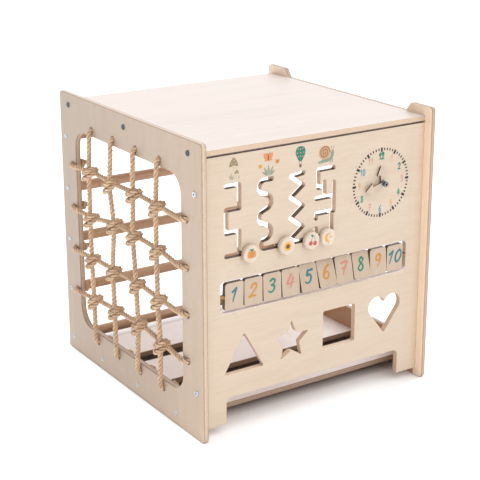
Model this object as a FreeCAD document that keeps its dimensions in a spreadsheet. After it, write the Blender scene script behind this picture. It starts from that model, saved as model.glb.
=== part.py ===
import FreeCAD, Part
import math
import os
import Sketcher
from FreeCAD import Placement, Rotation, Vector

# An activity cube in birch plywood. Lengths are in millimetres and angles in degrees.
# x runs from the outer face of the left side (the rope net's side) to the right,
# y from the front edges of the sides to the back, and z up from the floor.
SIZES = {
    # the cube and its plywood
    "cube_width": 698,
    "cube_depth": 724,
    "cube_height": 740,
    "ply": 15,
    "edge_round": 2.5,
    "fit_clearance": 0.1,
    "contact_gap": 0.3,
    # the two sides, each with one large opening
    "side_corner": 10,
    "opening_front": 94,
    "opening_back": 638,
    "opening_bottom": 98,
    "opening_top": 647,
    "opening_corner": 50,
    "rail_drop": 24,
    "front_ear": 82,
    "back_ear": 84,
    "ear_slope": 18,
    # the top board and the front panel
    "face_recess": 23.5,
    "top_back_inset": 17,
    "panel_gap": 2.5,
    "panel_clear": 22,
    "arch_height": 68,
    "foot_width": 65,
    "arch_corner": 15,
    "face_bevel": 0.6,
    # the floor slats
    "slat_width": 139.5,
    "slat_height": 22.5,
    "slat_front": 96.5,
    "slat_pitch": 195.5,
    "slat_screw_inset": 34,
    "slat_dowel_inset": 30,
    "slat_dowel_diameter": 8,
    "slat_dowel_length": 24,
    "slat_dowel_seat": 8,
    # the ladder of rungs at the back
    "rung_diameter": 28,
    "rung_inset": 30,
    "rung_lowest": 37.5,
    "rung_pitch": 145.25,
    # connector bolts with barrel nuts, and wood screws
    "bolt_head": 15,
    "bolt_head_thickness": 2.2,
    "bolt_diameter": 6,
    "bolt_reach": 36,
    "bolt_socket": 5,
    "barrel_diameter": 9,
    "barrel_length": 11,
    "barrel_place": 25,
    "top_bolt_inset": 35,
    "panel_bolt_top": 81.5,
    "panel_bolt_bottom": 99,
    "screw_head": 12,
    "screw_head_thickness": 1.8,
    "screw_diameter": 4.5,
    "screw_reach": 32,
    "screw_socket": 3.5,
    "head_edge": 0.8,
    "socket_depth": 1.6,
    # the rope net
    "rope_diameter": 12,
    "rope_stand": 7.5,
    "rope_fold": 12,
    "rope_hole": 16,
    "rope_first_y": 191.5,
    "rope_pitch_y": 116.7,
    "rope_first_z": 191,
    "rope_pitch_z": 118.7,
    "rope_hole_front": 69,
    "rope_hole_back": 662,
    "rope_hole_bottom": 73,
    "rope_hole_top": 665,
    "wrap_radius": 10.5,
    "wrap_thickness": 10,
    "wrap_spread": 5,
    "wrap_tilt": 14,
    "knot_diameter": 27,
    "knot_length": 22,
    "knot_shoulder": 7,
    "rope_tail": 10,
    # the number row
    "window_left": 63.5,
    "window_right": 635,
    "window_bottom": 310,
    "window_top": 391.5,
    "window_corner": 12,
    "rod_diameter": 8,
    "tile_width": 53,
    "tile_height": 70,
    "tile_thickness": 12,
    "tile_corner": 7,
    "tile_edge": 0.6,
    "tile_first": 104.1,
    "tile_pitch": 55,
    # the four mazes, 12 wide, whose lowest runs hold the knobs
    "slot_width": 12,
    "maze_top": 624,
    "maze_bottom": 453.5,
    "step_left": 81.5,
    "step_right": 117.8,
    "step_end": 143.5,
    "wave_middle": 191.5,
    "wave_radius": 17.5,
    "wave_pitch": 37.4,
    "wave_start": 210,
    "wave_end": 247.5,
    "zigzag_left": 266,
    "zigzag_right": 302,
    "zigzag_first": 620,
    "zigzag_pitch": 26.2,
    "zigzag_corner": 280,
    "zigzag_end": 322,
    "branch_left": 342.5,
    "branch_upper_left": 347.5,
    "branch_middle": 366.5,
    "branch_right": 390,
    "branch_upper_right": 396,
    "branch_top_right": 394,
    "branch_row_2": 579.5,
    "branch_row_3": 552,
    "branch_row_4": 513.5,
    "branch_stub": 11,
    "branch_stub_right": 34,
    "branch_stub_lower": 22.5,
    # the maze knobs
    "knob_diameter": 44,
    "knob_thickness": 14,
    "knob_edge": 4,
    "knob_gap": 1,
    "peg_diameter": 8,
    "peg_depth": 9,
    "peg_disc": 32,
    "peg_disc_thickness": 8,
    "peg_disc_edge": 1.5,
    "knob_1": 143,
    "knob_2": 247.5,
    "knob_3": 322,
    "knob_4": 371,
    # the clock
    "clock_x": 546,
    "clock_z": 560.5,
    "clock_bolt": 6,
    "clock_head": 14,
    "clock_head_thickness": 8,
    "clock_head_edge": 1,
    "washer_diameter": 16,
    "washer_thickness": 1.5,
    "spacer_thickness": 1,
    "hand_thickness": 4,
    "hand_shaft": 9.5,
    "hand_arrow": 28,
    "hand_arrow_length": 23,
    "hand_hub": 16,
    "minute_length": 58.5,
    "minute_angle": 103.3,
    "hour_length": 46,
    "hour_angle": 9,
    "clock_nut": 10,
    "clock_nut_thickness": 6,
    "clock_bolt_spare": 2,
    # the shape holes
    "triangle_x": 131.75,
    "triangle_side": 116.6,
    "shapes_bottom": 150,
    "triangle_corner": 3,
    "star_x": 272,
    "star_z": 196,
    "star_tip": 54.5,
    "star_valley": 25,
    "star_tip_round": 1.5,
    "star_valley_round": 8,
    "square_x": 420.5,
    "square_side": 102,
    "square_corner": 6,
    "heart_x": 568.5,
    "heart_lobe": 27,
    "heart_spread": 25.5,
    "heart_rise": 77,
    "heart_tip_round": 3,
}
# How far each number tile leans on its rod, top edge backwards, in degrees.
TILE_LEANS = [-2, 0.5, 3, 6, 15, 20, 13, 14, 3, -1]
SLAT_COUNT = 3
RUNG_COUNT = 5
ROPE_COUNT = 4
ZIGZAG_RUNS = 6

doc = FreeCAD.newDocument("activity_cube")
sheet = doc.addObject("Spreadsheet::Sheet", "Sizes")
for row, (size_name, size_value) in enumerate(SIZES.items(), start=1):
    sheet.set("A%d" % row, size_name)
    sheet.set("B%d" % row, str(size_value))
    sheet.setAlias("B%d" % row, size_name)
doc.recompute()


def formula(text):
    """The formula with every size's name led by the sheet's."""
    words = []
    word = ""
    for letter in text + " ":
        if letter.isalnum() or letter == "_":
            word += letter
            continue
        words.append("Sizes." + word if word in SIZES else word)
        words.append(letter)
        word = ""
    return "".join(words).strip()


def number(text):
    result = sheet.evalExpression(formula(text))
    return float(getattr(result, "Value", result))


def bind(piece, **formulas):
    for name, text in formulas.items():
        piece.setExpression(name.replace("__", "."), formula(text))


# The origin is under the middle of the whole cube, net and bolt heads included.
NET_REACH = "(rope_stand + wrap_radius + wrap_thickness / 2)"
MIDDLE_X = "((cube_width + bolt_head_thickness - %s) / 2)" % NET_REACH
MIDDLE_Y = "(cube_depth / 2)"
RIGHT_FACE = "(cube_width - ply)"
INNER_WIDTH = "(cube_width - 2 * ply)"
BOARD_TOP = "(cube_height - rail_drop)"
BOARD_MIDDLE = "(cube_height - rail_drop - ply / 2)"
PANEL_TOP = "(cube_height - rail_drop - ply - panel_gap)"
PANEL_MIDDLE = "(face_recess + ply / 2)"
PANEL_BACK = "(face_recess + ply)"
RUNG_Y = "(cube_depth - rung_inset)"
ROD_Z = "((window_bottom + window_top) / 2)"


def place(piece, x, y, z, rotation=None):
    """Sets a piece at a point of the cube's own grid, and names its placement's sizes."""
    if rotation is not None:
        piece.Placement = Placement(Vector(), rotation)
    bind(piece, Placement__Base__x="%s - %s" % (x, MIDDLE_X))
    bind(piece, Placement__Base__y="%s - %s" % (y, MIDDLE_Y))
    bind(piece, Placement__Base__z=z)
    return piece


# Sketches and features of the plywood pieces.
def new_body(name):
    body = doc.addObject("PartDesign::Body", name)
    body.Label = name
    return body


def new_sketch(body, role, name):
    plane = next(part for part in body.Origin.OriginFeatures if part.Role == role)
    sketch = body.newObject("Sketcher::SketchObject", name)
    sketch.AttachmentSupport = [(plane, "")]
    sketch.MapMode = "FlatFace"
    return sketch


def fix_point(sketch, geometry, position, across, up):
    """Ties one point of a sketch to its two coordinates, each a formula."""
    rules = (("DistanceX", across, -2), ("DistanceY", up, -1))
    for kind, text, axis in rules:
        if text == "0":
            sketch.addConstraint(Sketcher.Constraint("PointOnObject", geometry, position, axis))
            continue
        rule = Sketcher.Constraint(kind, -1, 1, geometry, position, number(text))
        index = sketch.addConstraint(rule)
        sketch.setExpression("Constraints[%d]" % index, formula(text))


def outline(sketch, corners):
    """A closed outline of straight edges through corners given as pairs of formulas."""
    points = [Vector(number(across), number(up), 0) for across, up in corners]
    first = sketch.GeometryCount
    count = len(points)
    for index in range(count):
        edge = Part.LineSegment(points[index], points[(index + 1) % count])
        sketch.addGeometry(edge, False)
    for index in range(count):
        following = first + (index + 1) % count
        sketch.addConstraint(Sketcher.Constraint("Coincident", first + index, 2, following, 1))
    for index, (across, up) in enumerate(corners):
        fix_point(sketch, first + index, 1, across, up)


def rectangle(left, right, bottom, top):
    return [(left, bottom), (right, bottom), (right, top), (left, top)]


def circle(sketch, across, up, diameter):
    centre = Vector(number(across), number(up), 0)
    ring = Part.Circle(centre, Vector(0, 0, 1), number(diameter) / 2)
    index = sketch.addGeometry(ring, False)
    fix_point(sketch, index, 3, across, up)
    rule = sketch.addConstraint(Sketcher.Constraint("Diameter", index, number(diameter)))
    sketch.setExpression("Constraints[%d]" % rule, formula(diameter))


def pad(body, sketch, length, backwards=False):
    feature = body.newObject("PartDesign::Pad", sketch.Name + "_pad")
    feature.Profile = sketch
    feature.Reversed = backwards
    bind(feature, Length=length)
    doc.recompute()
    return feature


def cut_through(body, sketch):
    feature = body.newObject("PartDesign::Pocket", sketch.Name + "_cut")
    feature.Profile = sketch
    feature.Type = "ThroughAll"
    feature.Midplane = True
    volume = body.Shape.Volume
    doc.recompute()
    if not body.Shape.Volume < volume - 1:
        raise ValueError("%s cuts nothing" % feature.Name)
    return feature


def round_edges(body, name, radius, wanted):
    """Rounds those edges of the body's last feature that wanted() picks."""
    base = body.Tip
    names = []
    for index, edge in enumerate(base.Shape.Edges, start=1):
        if wanted(edge):
            names.append("Edge%d" % index)
    feature = body.newObject("PartDesign::Fillet", name)
    feature.Base = (base, names)
    bind(feature, Radius=radius)
    doc.recompute()
    return feature


def runs_along(edge, axis):
    """True for a straight edge along x (0), y (1) or z (2) of its own piece."""
    if edge.Curve.TypeId != "Part::GeomLine":
        return False
    return abs(edge.Curve.Direction[axis]) > 0.999


def lies_flat(edge, axis, *levels):
    """True for an edge that lies all at one of the levels of x (0), y (1) or z (2)."""
    box = edge.BoundBox
    low = (box.XMin, box.YMin, box.ZMin)[axis]
    high = (box.XMax, box.YMax, box.ZMax)[axis]
    return high - low < 0.01 and any(abs(low - level) < 0.01 for level in levels)


# Where the fasteners and ropes meet the sides, as pairs of y and z.
TOP_BOLTS = [
    ("(face_recess + top_bolt_inset)", BOARD_MIDDLE),
    ("((face_recess + cube_depth - top_back_inset) / 2)", BOARD_MIDDLE),
    ("(cube_depth - top_back_inset - top_bolt_inset)", BOARD_MIDDLE),
]
PANEL_BOLTS = [
    (PANEL_MIDDLE, "(%s - panel_bolt_top)" % PANEL_TOP),
    (PANEL_MIDDLE, "(panel_clear + panel_bolt_bottom)"),
]
RUNG_SCREWS = [(RUNG_Y, "(rung_lowest + %d * rung_pitch)" % rung) for rung in range(RUNG_COUNT)]
SLAT_MIDDLE = "(slat_height + ply / 2)"
SLAT_FRONTS = ["(slat_front + %d * slat_pitch)" % slat for slat in range(SLAT_COUNT)]
SLAT_SCREWS = [("(%s + slat_screw_inset)" % front, SLAT_MIDDLE) for front in SLAT_FRONTS]
SLAT_DOWELS = [
    ("(%s + slat_width - slat_dowel_inset)" % front, SLAT_MIDDLE) for front in SLAT_FRONTS
]
ROPE_YS = ["(rope_first_y + %d * rope_pitch_y)" % rope for rope in range(ROPE_COUNT)]
ROPE_ZS = ["(rope_first_z + %d * rope_pitch_z)" % rope for rope in range(ROPE_COUNT)]


def side_panel(name, corners, inner_face, rope_holes):
    """A side of the cube: its outline, opening, fastener holes and rounded edges."""
    body = new_body(name)
    board = new_sketch(body, "YZ_Plane", name + "_board")
    outline(board, corners)
    pad(body, board, "ply")
    round_edges(body, name + "_corners", "side_corner", lambda edge: runs_along(edge, 0))
    opening = new_sketch(body, "YZ_Plane", name + "_opening")
    outline(opening, rectangle("opening_front", "opening_back", "opening_bottom", "opening_top"))
    cut_through(body, opening)

    def at_opening(edge):
        middle = edge.CenterOfMass
        return (
            number("opening_front") - 1 < middle.y < number("opening_back") + 1
            and number("opening_bottom") - 1 < middle.z < number("opening_top") + 1
        )

    round_edges(
        body,
        name + "_opening_corners",
        "opening_corner",
        lambda edge: runs_along(edge, 0) and at_opening(edge),
    )
    if rope_holes:
        holes = new_sketch(body, "YZ_Plane", name + "_rope_holes")
        for y in ROPE_YS:
            circle(holes, y, "rope_hole_bottom", "rope_hole")
            circle(holes, y, "rope_hole_top", "rope_hole")
        for z in ROPE_ZS:
            circle(holes, "rope_hole_front", z, "rope_hole")
            circle(holes, "rope_hole_back", z, "rope_hole")
        cut_through(body, holes)
    round_edges(
        body,
        name + "_edges",
        "edge_round",
        lambda edge: lies_flat(edge, 0, 0, number("ply")),
    )
    holes = new_sketch(body, "YZ_Plane", name + "_fastener_holes")
    for y, z in TOP_BOLTS + PANEL_BOLTS:
        circle(holes, y, z, "bolt_diameter + 2 * fit_clearance")
    for y, z in RUNG_SCREWS + SLAT_SCREWS:
        circle(holes, y, z, "screw_diameter + 2 * fit_clearance")
    cut_through(body, holes)
    seats = new_sketch(body, "YZ_Plane", name + "_dowel_seats")
    bind(seats, AttachmentOffset__Base__z=inner_face)
    for y, z in SLAT_DOWELS:
        circle(seats, y, z, "slat_dowel_diameter + 2 * fit_clearance")
    sink = body.newObject("PartDesign::Pocket", name + "_dowel_seats_cut")
    sink.Profile = seats
    sink.Reversed = inner_face == "0"
    bind(sink, Length="slat_dowel_seat + contact_gap")
    volume = body.Shape.Volume
    doc.recompute()
    if not body.Shape.Volume < volume - 1:
        raise ValueError("%s cuts nothing" % sink.Name)
    return body


left_side = side_panel(
    "left_side_panel",
    rectangle("0", "cube_depth", "0", "cube_height"),
    "ply",
    True,
)
place(left_side, "0", "0", "0")
right_side = side_panel(
    "right_side_panel",
    [
        ("0", "0"),
        ("cube_depth", "0"),
        ("cube_depth", "cube_height"),
        ("cube_depth - back_ear", "cube_height"),
        ("cube_depth - back_ear - ear_slope", BOARD_TOP),
        ("front_ear + ear_slope", BOARD_TOP),
        ("front_ear", "cube_height"),
        ("0", "cube_height"),
    ],
    "0",
    False,
)
place(right_side, RIGHT_FACE, "0", "0")


# Straight round pieces and holes: which way each one's axis points.
TURNS = {
    "x": Rotation(Vector(0, 1, 0), 90),
    "-x": Rotation(Vector(0, 1, 0), -90),
    "y": Rotation(Vector(1, 0, 0), -90),
    "-y": Rotation(Vector(1, 0, 0), 90),
    "z": Rotation(),
}


def cylinder(name, diameter, length, x, y, z, way):
    piece = doc.addObject("Part::Cylinder", name)
    bind(piece, Radius="(%s) / 2" % diameter, Height=length)
    return place(piece, x, y, z, TURNS[way])


def cut(name, base, holes):
    tool = doc.addObject("Part::Compound", name + "_holes")
    tool.Links = holes
    piece = doc.addObject("Part::Cut", name)
    piece.Base = base
    piece.Tool = tool
    piece.Label = name
    doc.recompute()
    return piece


def rounded(name, base, radius, wanted, kind="Part::Fillet"):
    piece = doc.addObject(kind, name)
    piece.Base = base
    edges = []
    for index, edge in enumerate(base.Shape.Edges, start=1):
        if wanted(edge):
            edges.append((index, number(radius), number(radius)))
    piece.Edges = edges
    piece.Label = name
    doc.recompute()
    return piece


def plank(name, x, y, z, width, depth, height, radius):
    """A plain board along x whose long edges are rounded."""
    blank = doc.addObject("Part::Box", name + "_blank")
    bind(blank, Length=width, Width=depth, Height=height)
    place(blank, x, y, z)
    doc.recompute()
    return rounded(name + "_plank", blank, radius, lambda edge: runs_along(edge, 0))


def bolt_holes(name, y, z, barrel_from, barrel_way):
    """The bolt's hole in both ends of a board, and the barrel nut's blind hole by each."""
    holes = []
    for end, x, way, side in (
        ("left", "ply", "x", "(ply + barrel_place)"),
        ("right", RIGHT_FACE, "-x", "(%s - barrel_place)" % RIGHT_FACE),
    ):
        hole = "%s_%s" % (name, end)
        reach = "bolt_reach + contact_gap"
        bore = "bolt_diameter + 2 * fit_clearance"
        holes.append(cylinder(hole, bore, reach, x, y, z, way))
        barrel = "barrel_diameter + 2 * fit_clearance"
        depth = "(ply + barrel_length) / 2 + contact_gap"
        if barrel_way == "z":
            holes.append(cylinder(hole + "_nut", barrel, depth, side, y, barrel_from, "z"))
        else:
            holes.append(cylinder(hole + "_nut", barrel, depth, side, barrel_from, z, "-y"))
    return holes


pieces = [left_side, right_side]

# The top board, bolted through both sides.
board = plank(
    "top_board",
    "ply",
    "face_recess",
    "%s - ply" % BOARD_TOP,
    INNER_WIDTH,
    "cube_depth - face_recess - top_back_inset",
    "ply",
    "edge_round / 2",
)
holes = []
for index, (y, z) in enumerate(TOP_BOLTS):
    holes += bolt_holes("top_bolt_hole_%d" % index, y, z, "%s - ply" % BOARD_TOP, "z")
pieces.append(cut("top_board", board, holes))

# Three floor slats, each with a screw and a dowel pin at either end.
for slat, front in enumerate(SLAT_FRONTS):
    name = "floor_board_%d" % (slat + 1)
    board = plank(name, "ply", front, "slat_height", INNER_WIDTH, "slat_width", "ply", "edge_round")
    holes = []
    for end, x, way in (("left", "ply", "x"), ("right", RIGHT_FACE, "-x")):
        y, z = SLAT_SCREWS[slat]
        bore = "screw_diameter + 2 * fit_clearance"
        holes.append(cylinder("%s_%s_screw" % (name, end), bore, "screw_reach", x, y, z, way))
        y, z = SLAT_DOWELS[slat]
        bore = "slat_dowel_diameter + 2 * fit_clearance"
        depth = "slat_dowel_length - slat_dowel_seat + contact_gap"
        holes.append(cylinder("%s_%s_dowel" % (name, end), bore, depth, x, y, z, way))
    pieces.append(cut(name, board, holes))

# Five round rungs between the sides at the back, each screwed at both ends.
for rung, (y, z) in enumerate(RUNG_SCREWS):
    name = "rung_%d" % (rung + 1)
    dowel = cylinder(name + "_dowel", "rung_diameter", INNER_WIDTH, "ply", y, z, "x")
    holes = []
    for end, x, way in (("left", "ply", "x"), ("right", RIGHT_FACE, "-x")):
        bore = "screw_diameter + 2 * fit_clearance"
        holes.append(cylinder("%s_%s_screw" % (name, end), bore, "screw_reach", x, y, z, way))
    pieces.append(cut(name, dowel, holes))


def round_ended(edge, half):
    """The outline of one straight slot with half-round ends."""
    start, end = (vertex.Point for vertex in edge.Vertexes)
    along = (end - start).normalize() * half
    aside = Vector(along.z, 0, -along.x)
    corners = [start + aside, end + aside, end - aside, start - aside]
    return Part.Wire(
        [
            Part.makeLine(corners[0], corners[1]),
            Part.Arc(corners[1], end + along, corners[2]).toShape(),
            Part.makeLine(corners[2], corners[3]),
            Part.Arc(corners[3], start - along, corners[0]).toShape(),
        ]
    )


# The mazes' slots: a router's path along a centre line, with round ends and outer corners.
def slot_along(edges):
    half = number("slot_width") / 2
    if len(edges) == 1:
        face = Part.Face(round_ended(edges[0], half))
    else:
        face = Part.Face(Part.Wire(edges).makeOffset2D(half, 0, False, False, False))
    face.translate(Vector(0, -1, 0))
    return face.extrude(Vector(0, number("ply") + 2, 0))


def straight_runs(*points):
    corners = [Vector(number(across), 0, number(up)) for across, up in points]
    return [Part.makeLine(start, end) for start, end in zip(corners, corners[1:])]


def step_maze():
    """Square steps that swing right, left and right again on the way down."""
    row = "(maze_top - %d * (maze_top - maze_bottom) / 3)"
    corners = [("step_left", row % 0), ("step_right", row % 0), ("step_right", row % 1)]
    corners += [("step_left", row % 1), ("step_left", row % 2), ("step_right", row % 2)]
    corners += [("step_right", row % 3)]
    lowest = straight_runs(("step_left", row % 3), ("step_end", row % 3))
    return [slot_along(straight_runs(*corners)), slot_along(lowest)]


def wave_maze():
    """Four round bulges, left and right in turn, joined by their inner tangents."""
    radius = number("wave_radius")
    pitch = number("wave_pitch")
    middle = number("wave_middle")
    top = number("maze_top")
    bottom = number("maze_bottom")
    lean = math.acos(2 * radius / pitch)
    sideways = radius * math.sin(lean)
    upright = radius * math.cos(lean)
    edges = []
    last = Vector(number("wave_start"), 0, top)
    for bulge in range(4):
        centre = Vector(middle, 0, top - radius - bulge * pitch)
        side = -1 if bulge % 2 == 0 else 1
        start = centre + Vector(side * sideways, 0, upright)
        finish = centre + Vector(side * sideways, 0, -upright)
        if bulge == 0:
            start = centre + Vector(0, 0, radius)
        if bulge == 3:
            finish = centre + Vector(0, 0, -radius)
        edges.append(Part.makeLine(last, start))
        edges.append(Part.Arc(start, centre + Vector(side * radius, 0, 0), finish).toShape())
        last = finish
    turn = (last.z - bottom) / 2
    side = Vector(last.x - turn, 0, last.z - turn)
    below = Vector(last.x, 0, bottom)
    edges.append(Part.Arc(last, side, below).toShape())
    edges.append(Part.makeLine(below, Vector(number("wave_end"), 0, bottom)))
    return [slot_along(edges)]


def zigzag_maze():
    corners = [("zigzag_right", "maze_top"), ("zigzag_left", "zigzag_first")]
    for run in range(1, ZIGZAG_RUNS + 1):
        across = "zigzag_right" if run % 2 == 1 else "zigzag_left"
        corners.append((across, "zigzag_first - %d * zigzag_pitch" % run))
    corners.append(("zigzag_corner", "maze_bottom"))
    corners.append(("zigzag_end", "maze_bottom"))
    return [slot_along(straight_runs(*corners))]


def branch_maze():
    """Square turns with blind ends."""
    way = [("branch_top_right", "maze_top"), ("branch_upper_left", "maze_top")]
    way += [("branch_upper_left", "branch_row_2"), ("branch_middle", "branch_row_2")]
    way += [("branch_middle", "branch_row_3"), ("branch_upper_right", "branch_row_3")]
    way += [("branch_upper_right", "branch_row_4"), ("branch_right", "branch_row_4")]
    way += [("branch_right", "maze_bottom"), ("branch_left", "maze_bottom")]
    way += [("branch_left", "maze_bottom + branch_stub_lower")]
    ends = [
        straight_runs(
            ("branch_middle", "branch_row_3"),
            ("branch_left", "branch_row_3"),
        ),
        straight_runs(
            ("branch_middle", "branch_row_2"),
            ("branch_middle", "branch_row_2 + branch_stub"),
        ),
        straight_runs(
            ("branch_upper_right", "branch_row_3"),
            ("branch_upper_right", "branch_row_3 + branch_stub_right"),
        ),
        straight_runs(
            ("branch_right", "branch_row_4"),
            ("branch_left", "branch_row_4"),
            ("branch_left", "branch_row_4 - branch_stub"),
        ),
    ]
    return [slot_along(straight_runs(*way))] + [slot_along(end) for end in ends]


# The front panel: feet and arch, the number window and the four shape holes.
front = new_body("front_panel_board")
board = new_sketch(front, "XZ_Plane", "front_board")
FOOT_LEFT = "(ply + foot_width)"
FOOT_RIGHT = "(%s - foot_width)" % RIGHT_FACE
ARCH_TOP = "(panel_clear + arch_height)"
outline(
    board,
    [
        ("ply", "panel_clear"),
        (FOOT_LEFT, "panel_clear"),
        (FOOT_LEFT, ARCH_TOP),
        (FOOT_RIGHT, ARCH_TOP),
        (FOOT_RIGHT, "panel_clear"),
        (RIGHT_FACE, "panel_clear"),
        (RIGHT_FACE, PANEL_TOP),
        ("ply", PANEL_TOP),
    ],
)
pad(front, board, "ply", backwards=True)
round_edges(
    front,
    "arch_corners",
    "arch_corner",
    lambda edge: runs_along(edge, 1) and abs(edge.CenterOfMass.z - number(ARCH_TOP)) < 0.1,
)


def shape_hole(name, corners, roundings):
    """A hole through the front panel, its corners rounded by radius and height picked."""
    sketch = new_sketch(front, "XZ_Plane", name)
    outline(sketch, corners)
    cut_through(front, sketch)
    spots = [(number(across), number(up)) for across, up in corners]
    for index, (radius, chosen) in enumerate(roundings):
        wanted = [spots[corner] for corner in chosen]

        def at_corner(edge):
            middle = edge.CenterOfMass
            near = [math.hypot(middle.x - x, middle.z - z) < 0.1 for x, z in wanted]
            return runs_along(edge, 1) and any(near)

        round_edges(front, "%s_round_%d" % (name, index), radius, at_corner)


shape_hole(
    "number_window",
    rectangle("window_left", "window_right", "window_bottom", "window_top"),
    [("window_corner", range(4))],
)
shape_hole(
    "triangle",
    [
        ("triangle_x - triangle_side / 2", "shapes_bottom"),
        ("triangle_x + triangle_side / 2", "shapes_bottom"),
        ("triangle_x", "shapes_bottom + triangle_side * sqrt(3) / 2"),
    ],
    [("triangle_corner", range(3))],
)
star = []
for corner in range(10):
    reach = "star_tip" if corner % 2 == 0 else "star_valley"
    turn = 90 + 36 * corner
    across = "star_x + %s * cos(%d deg)" % (reach, turn)
    up = "star_z + %s * sin(%d deg)" % (reach, turn)
    star.append((across, up))
shape_hole(
    "star", star, [("star_tip_round", range(0, 10, 2)), ("star_valley_round", range(1, 10, 2))]
)
shape_hole(
    "square",
    rectangle(
        "square_x - square_side / 2",
        "square_x + square_side / 2",
        "shapes_bottom",
        "shapes_bottom + square_side",
    ),
    [("square_corner", range(4))],
)

# The heart: two round lobes over a kite whose lower edges touch the lobes' sides.
LOBE_Z = "(shapes_bottom + heart_rise)"
LEAN = "(atan(heart_spread / heart_rise) + asin(heart_lobe / sqrt(heart_spread ^ 2 + heart_rise ^ 2)))"
TOUCH = "sqrt(heart_spread ^ 2 + heart_rise ^ 2 - heart_lobe ^ 2)"
for side, sign in (("left", "-"), ("right", "+")):
    lobe = new_sketch(front, "XZ_Plane", "heart_%s" % side)
    circle(lobe, "heart_x %s heart_spread" % sign, LOBE_Z, "2 * heart_lobe")
    cut_through(front, lobe)
shape_hole(
    "heart_kite",
    [
        ("heart_x", "shapes_bottom"),
        ("heart_x + %s * sin(%s)" % (TOUCH, LEAN), "shapes_bottom + %s * cos(%s)" % (TOUCH, LEAN)),
        ("heart_x", "%s + sqrt(heart_lobe ^ 2 - heart_spread ^ 2)" % LOBE_Z),
        ("heart_x - %s * sin(%s)" % (TOUCH, LEAN), "shapes_bottom + %s * cos(%s)" % (TOUCH, LEAN)),
    ],
    [("heart_tip_round", [0])],
)
place(front, "0", "face_recess", "0")
doc.recompute()

mazes = doc.addObject("Part::Feature", "maze_slots")
mazes.Shape = Part.makeCompound(step_maze() + wave_maze() + zigzag_maze() + branch_maze())
place(mazes, "0", "face_recess", "0")
holes = [mazes]
for index, (y, z) in enumerate(PANEL_BOLTS):
    holes += bolt_holes("panel_bolt_hole_%d" % index, y, z, PANEL_BACK, "-y")
bore = "rod_diameter + 2 * fit_clearance"
holes.append(cylinder("rod_bore", bore, INNER_WIDTH, "ply", PANEL_MIDDLE, ROD_Z, "x"))
bore = "clock_bolt + 2 * fit_clearance"
holes.append(cylinder("clock_bore", bore, "ply", "clock_x", "face_recess", "clock_z", "y"))
cut_panel = cut("front_panel_cut", front, holes)
face_y = number("face_recess") - number(MIDDLE_Y)
pieces.append(
    rounded(
        "front_panel",
        cut_panel,
        "face_bevel",
        lambda edge: lies_flat(edge, 1, face_y),
        "Part::Chamfer",
    )
)

# The number row: a rod through the whole panel, caught between the two sides.
number_rod = cylinder(
    "number_rod",
    "rod_diameter",
    "%s - 2 * contact_gap" % INNER_WIDTH,
    "ply + contact_gap",
    PANEL_MIDDLE,
    ROD_Z,
    "x",
)
pieces.append(number_rod)


def number_tile(index):
    """A tile bored along its middle, which turns freely on the rod."""
    name = "number_tile_%d" % (index + 1)
    body = new_body(name)
    face = new_sketch(body, "XZ_Plane", name + "_face")
    across = "tile_width / 2"
    up = "tile_height / 2"
    outline(face, rectangle("-" + across, across, "-" + up, up))
    feature = pad(body, face, "tile_thickness")
    feature.Midplane = True
    doc.recompute()
    round_edges(body, name + "_corners", "tile_corner", lambda edge: runs_along(edge, 1))
    half = number("tile_thickness") / 2
    round_edges(body, name + "_edges", "tile_edge", lambda edge: lies_flat(edge, 1, -half, half))
    bore = new_sketch(body, "YZ_Plane", name + "_bore")
    circle(bore, "0", "0", "rod_diameter + 2 * fit_clearance")
    cut_through(body, bore)
    lean = Rotation(Vector(1, 0, 0), -TILE_LEANS[index])
    return place(body, "tile_first + %d * tile_pitch" % index, PANEL_MIDDLE, ROD_Z, lean)


for index in range(len(TILE_LEANS)):
    pieces.append(number_tile(index))

# The maze knobs: a peg rests on the floor of its slot, with a disc behind the panel
# and a knob that turns on its front end.
PEG_Z = "(maze_bottom - slot_width / 2 + peg_diameter / 2 + contact_gap)"
KNOB_BACK = "(face_recess - knob_gap)"
DISC_FRONT = "(%s + knob_gap)" % PANEL_BACK
for index in range(1, 5):
    name = "maze_knob_%d" % index
    x = "knob_%d" % index
    blank = cylinder(name + "_blank", "knob_diameter", "knob_thickness", x, KNOB_BACK, PEG_Z, "-y")
    doc.recompute()
    turned = rounded(
        name + "_turned", blank, "knob_edge", lambda edge: edge.Curve.TypeId == "Part::GeomCircle"
    )
    bore = "peg_diameter + 2 * fit_clearance"
    hole = cylinder(name + "_bore", bore, "peg_depth + contact_gap", x, KNOB_BACK, PEG_Z, "-y")
    pieces.append(cut(name, turned, [hole]))
    name = "maze_peg_%d" % index
    length = "peg_depth + 2 * knob_gap + ply + peg_disc_thickness / 2"
    start = "(%s - peg_depth)" % KNOB_BACK
    pin = cylinder(name + "_pin", "peg_diameter", length, x, start, PEG_Z, "y")
    blank = cylinder(name + "_disc", "peg_disc", "peg_disc_thickness", x, DISC_FRONT, PEG_Z, "y")
    doc.recompute()
    disc = rounded(
        name + "_disc_turned",
        blank,
        "peg_disc_edge",
        lambda edge: edge.Curve.TypeId == "Part::GeomCircle",
    )
    peg = doc.addObject("Part::Fuse", name)
    peg.Base = pin
    peg.Tool = disc
    peg.Label = name
    pieces.append(peg)


# The clock, from the panel outwards: washer, hour hand, spacer, minute hand, washer, head.
def washer(name, y, thickness):
    ring = cylinder(name + "_ring", "washer_diameter", thickness, "clock_x", y, "clock_z", "y")
    bore = "clock_bolt + 2 * fit_clearance"
    hole = cylinder(name + "_hole", bore, thickness, "clock_x", y, "clock_z", "y")
    return cut(name, ring, [hole])


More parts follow.
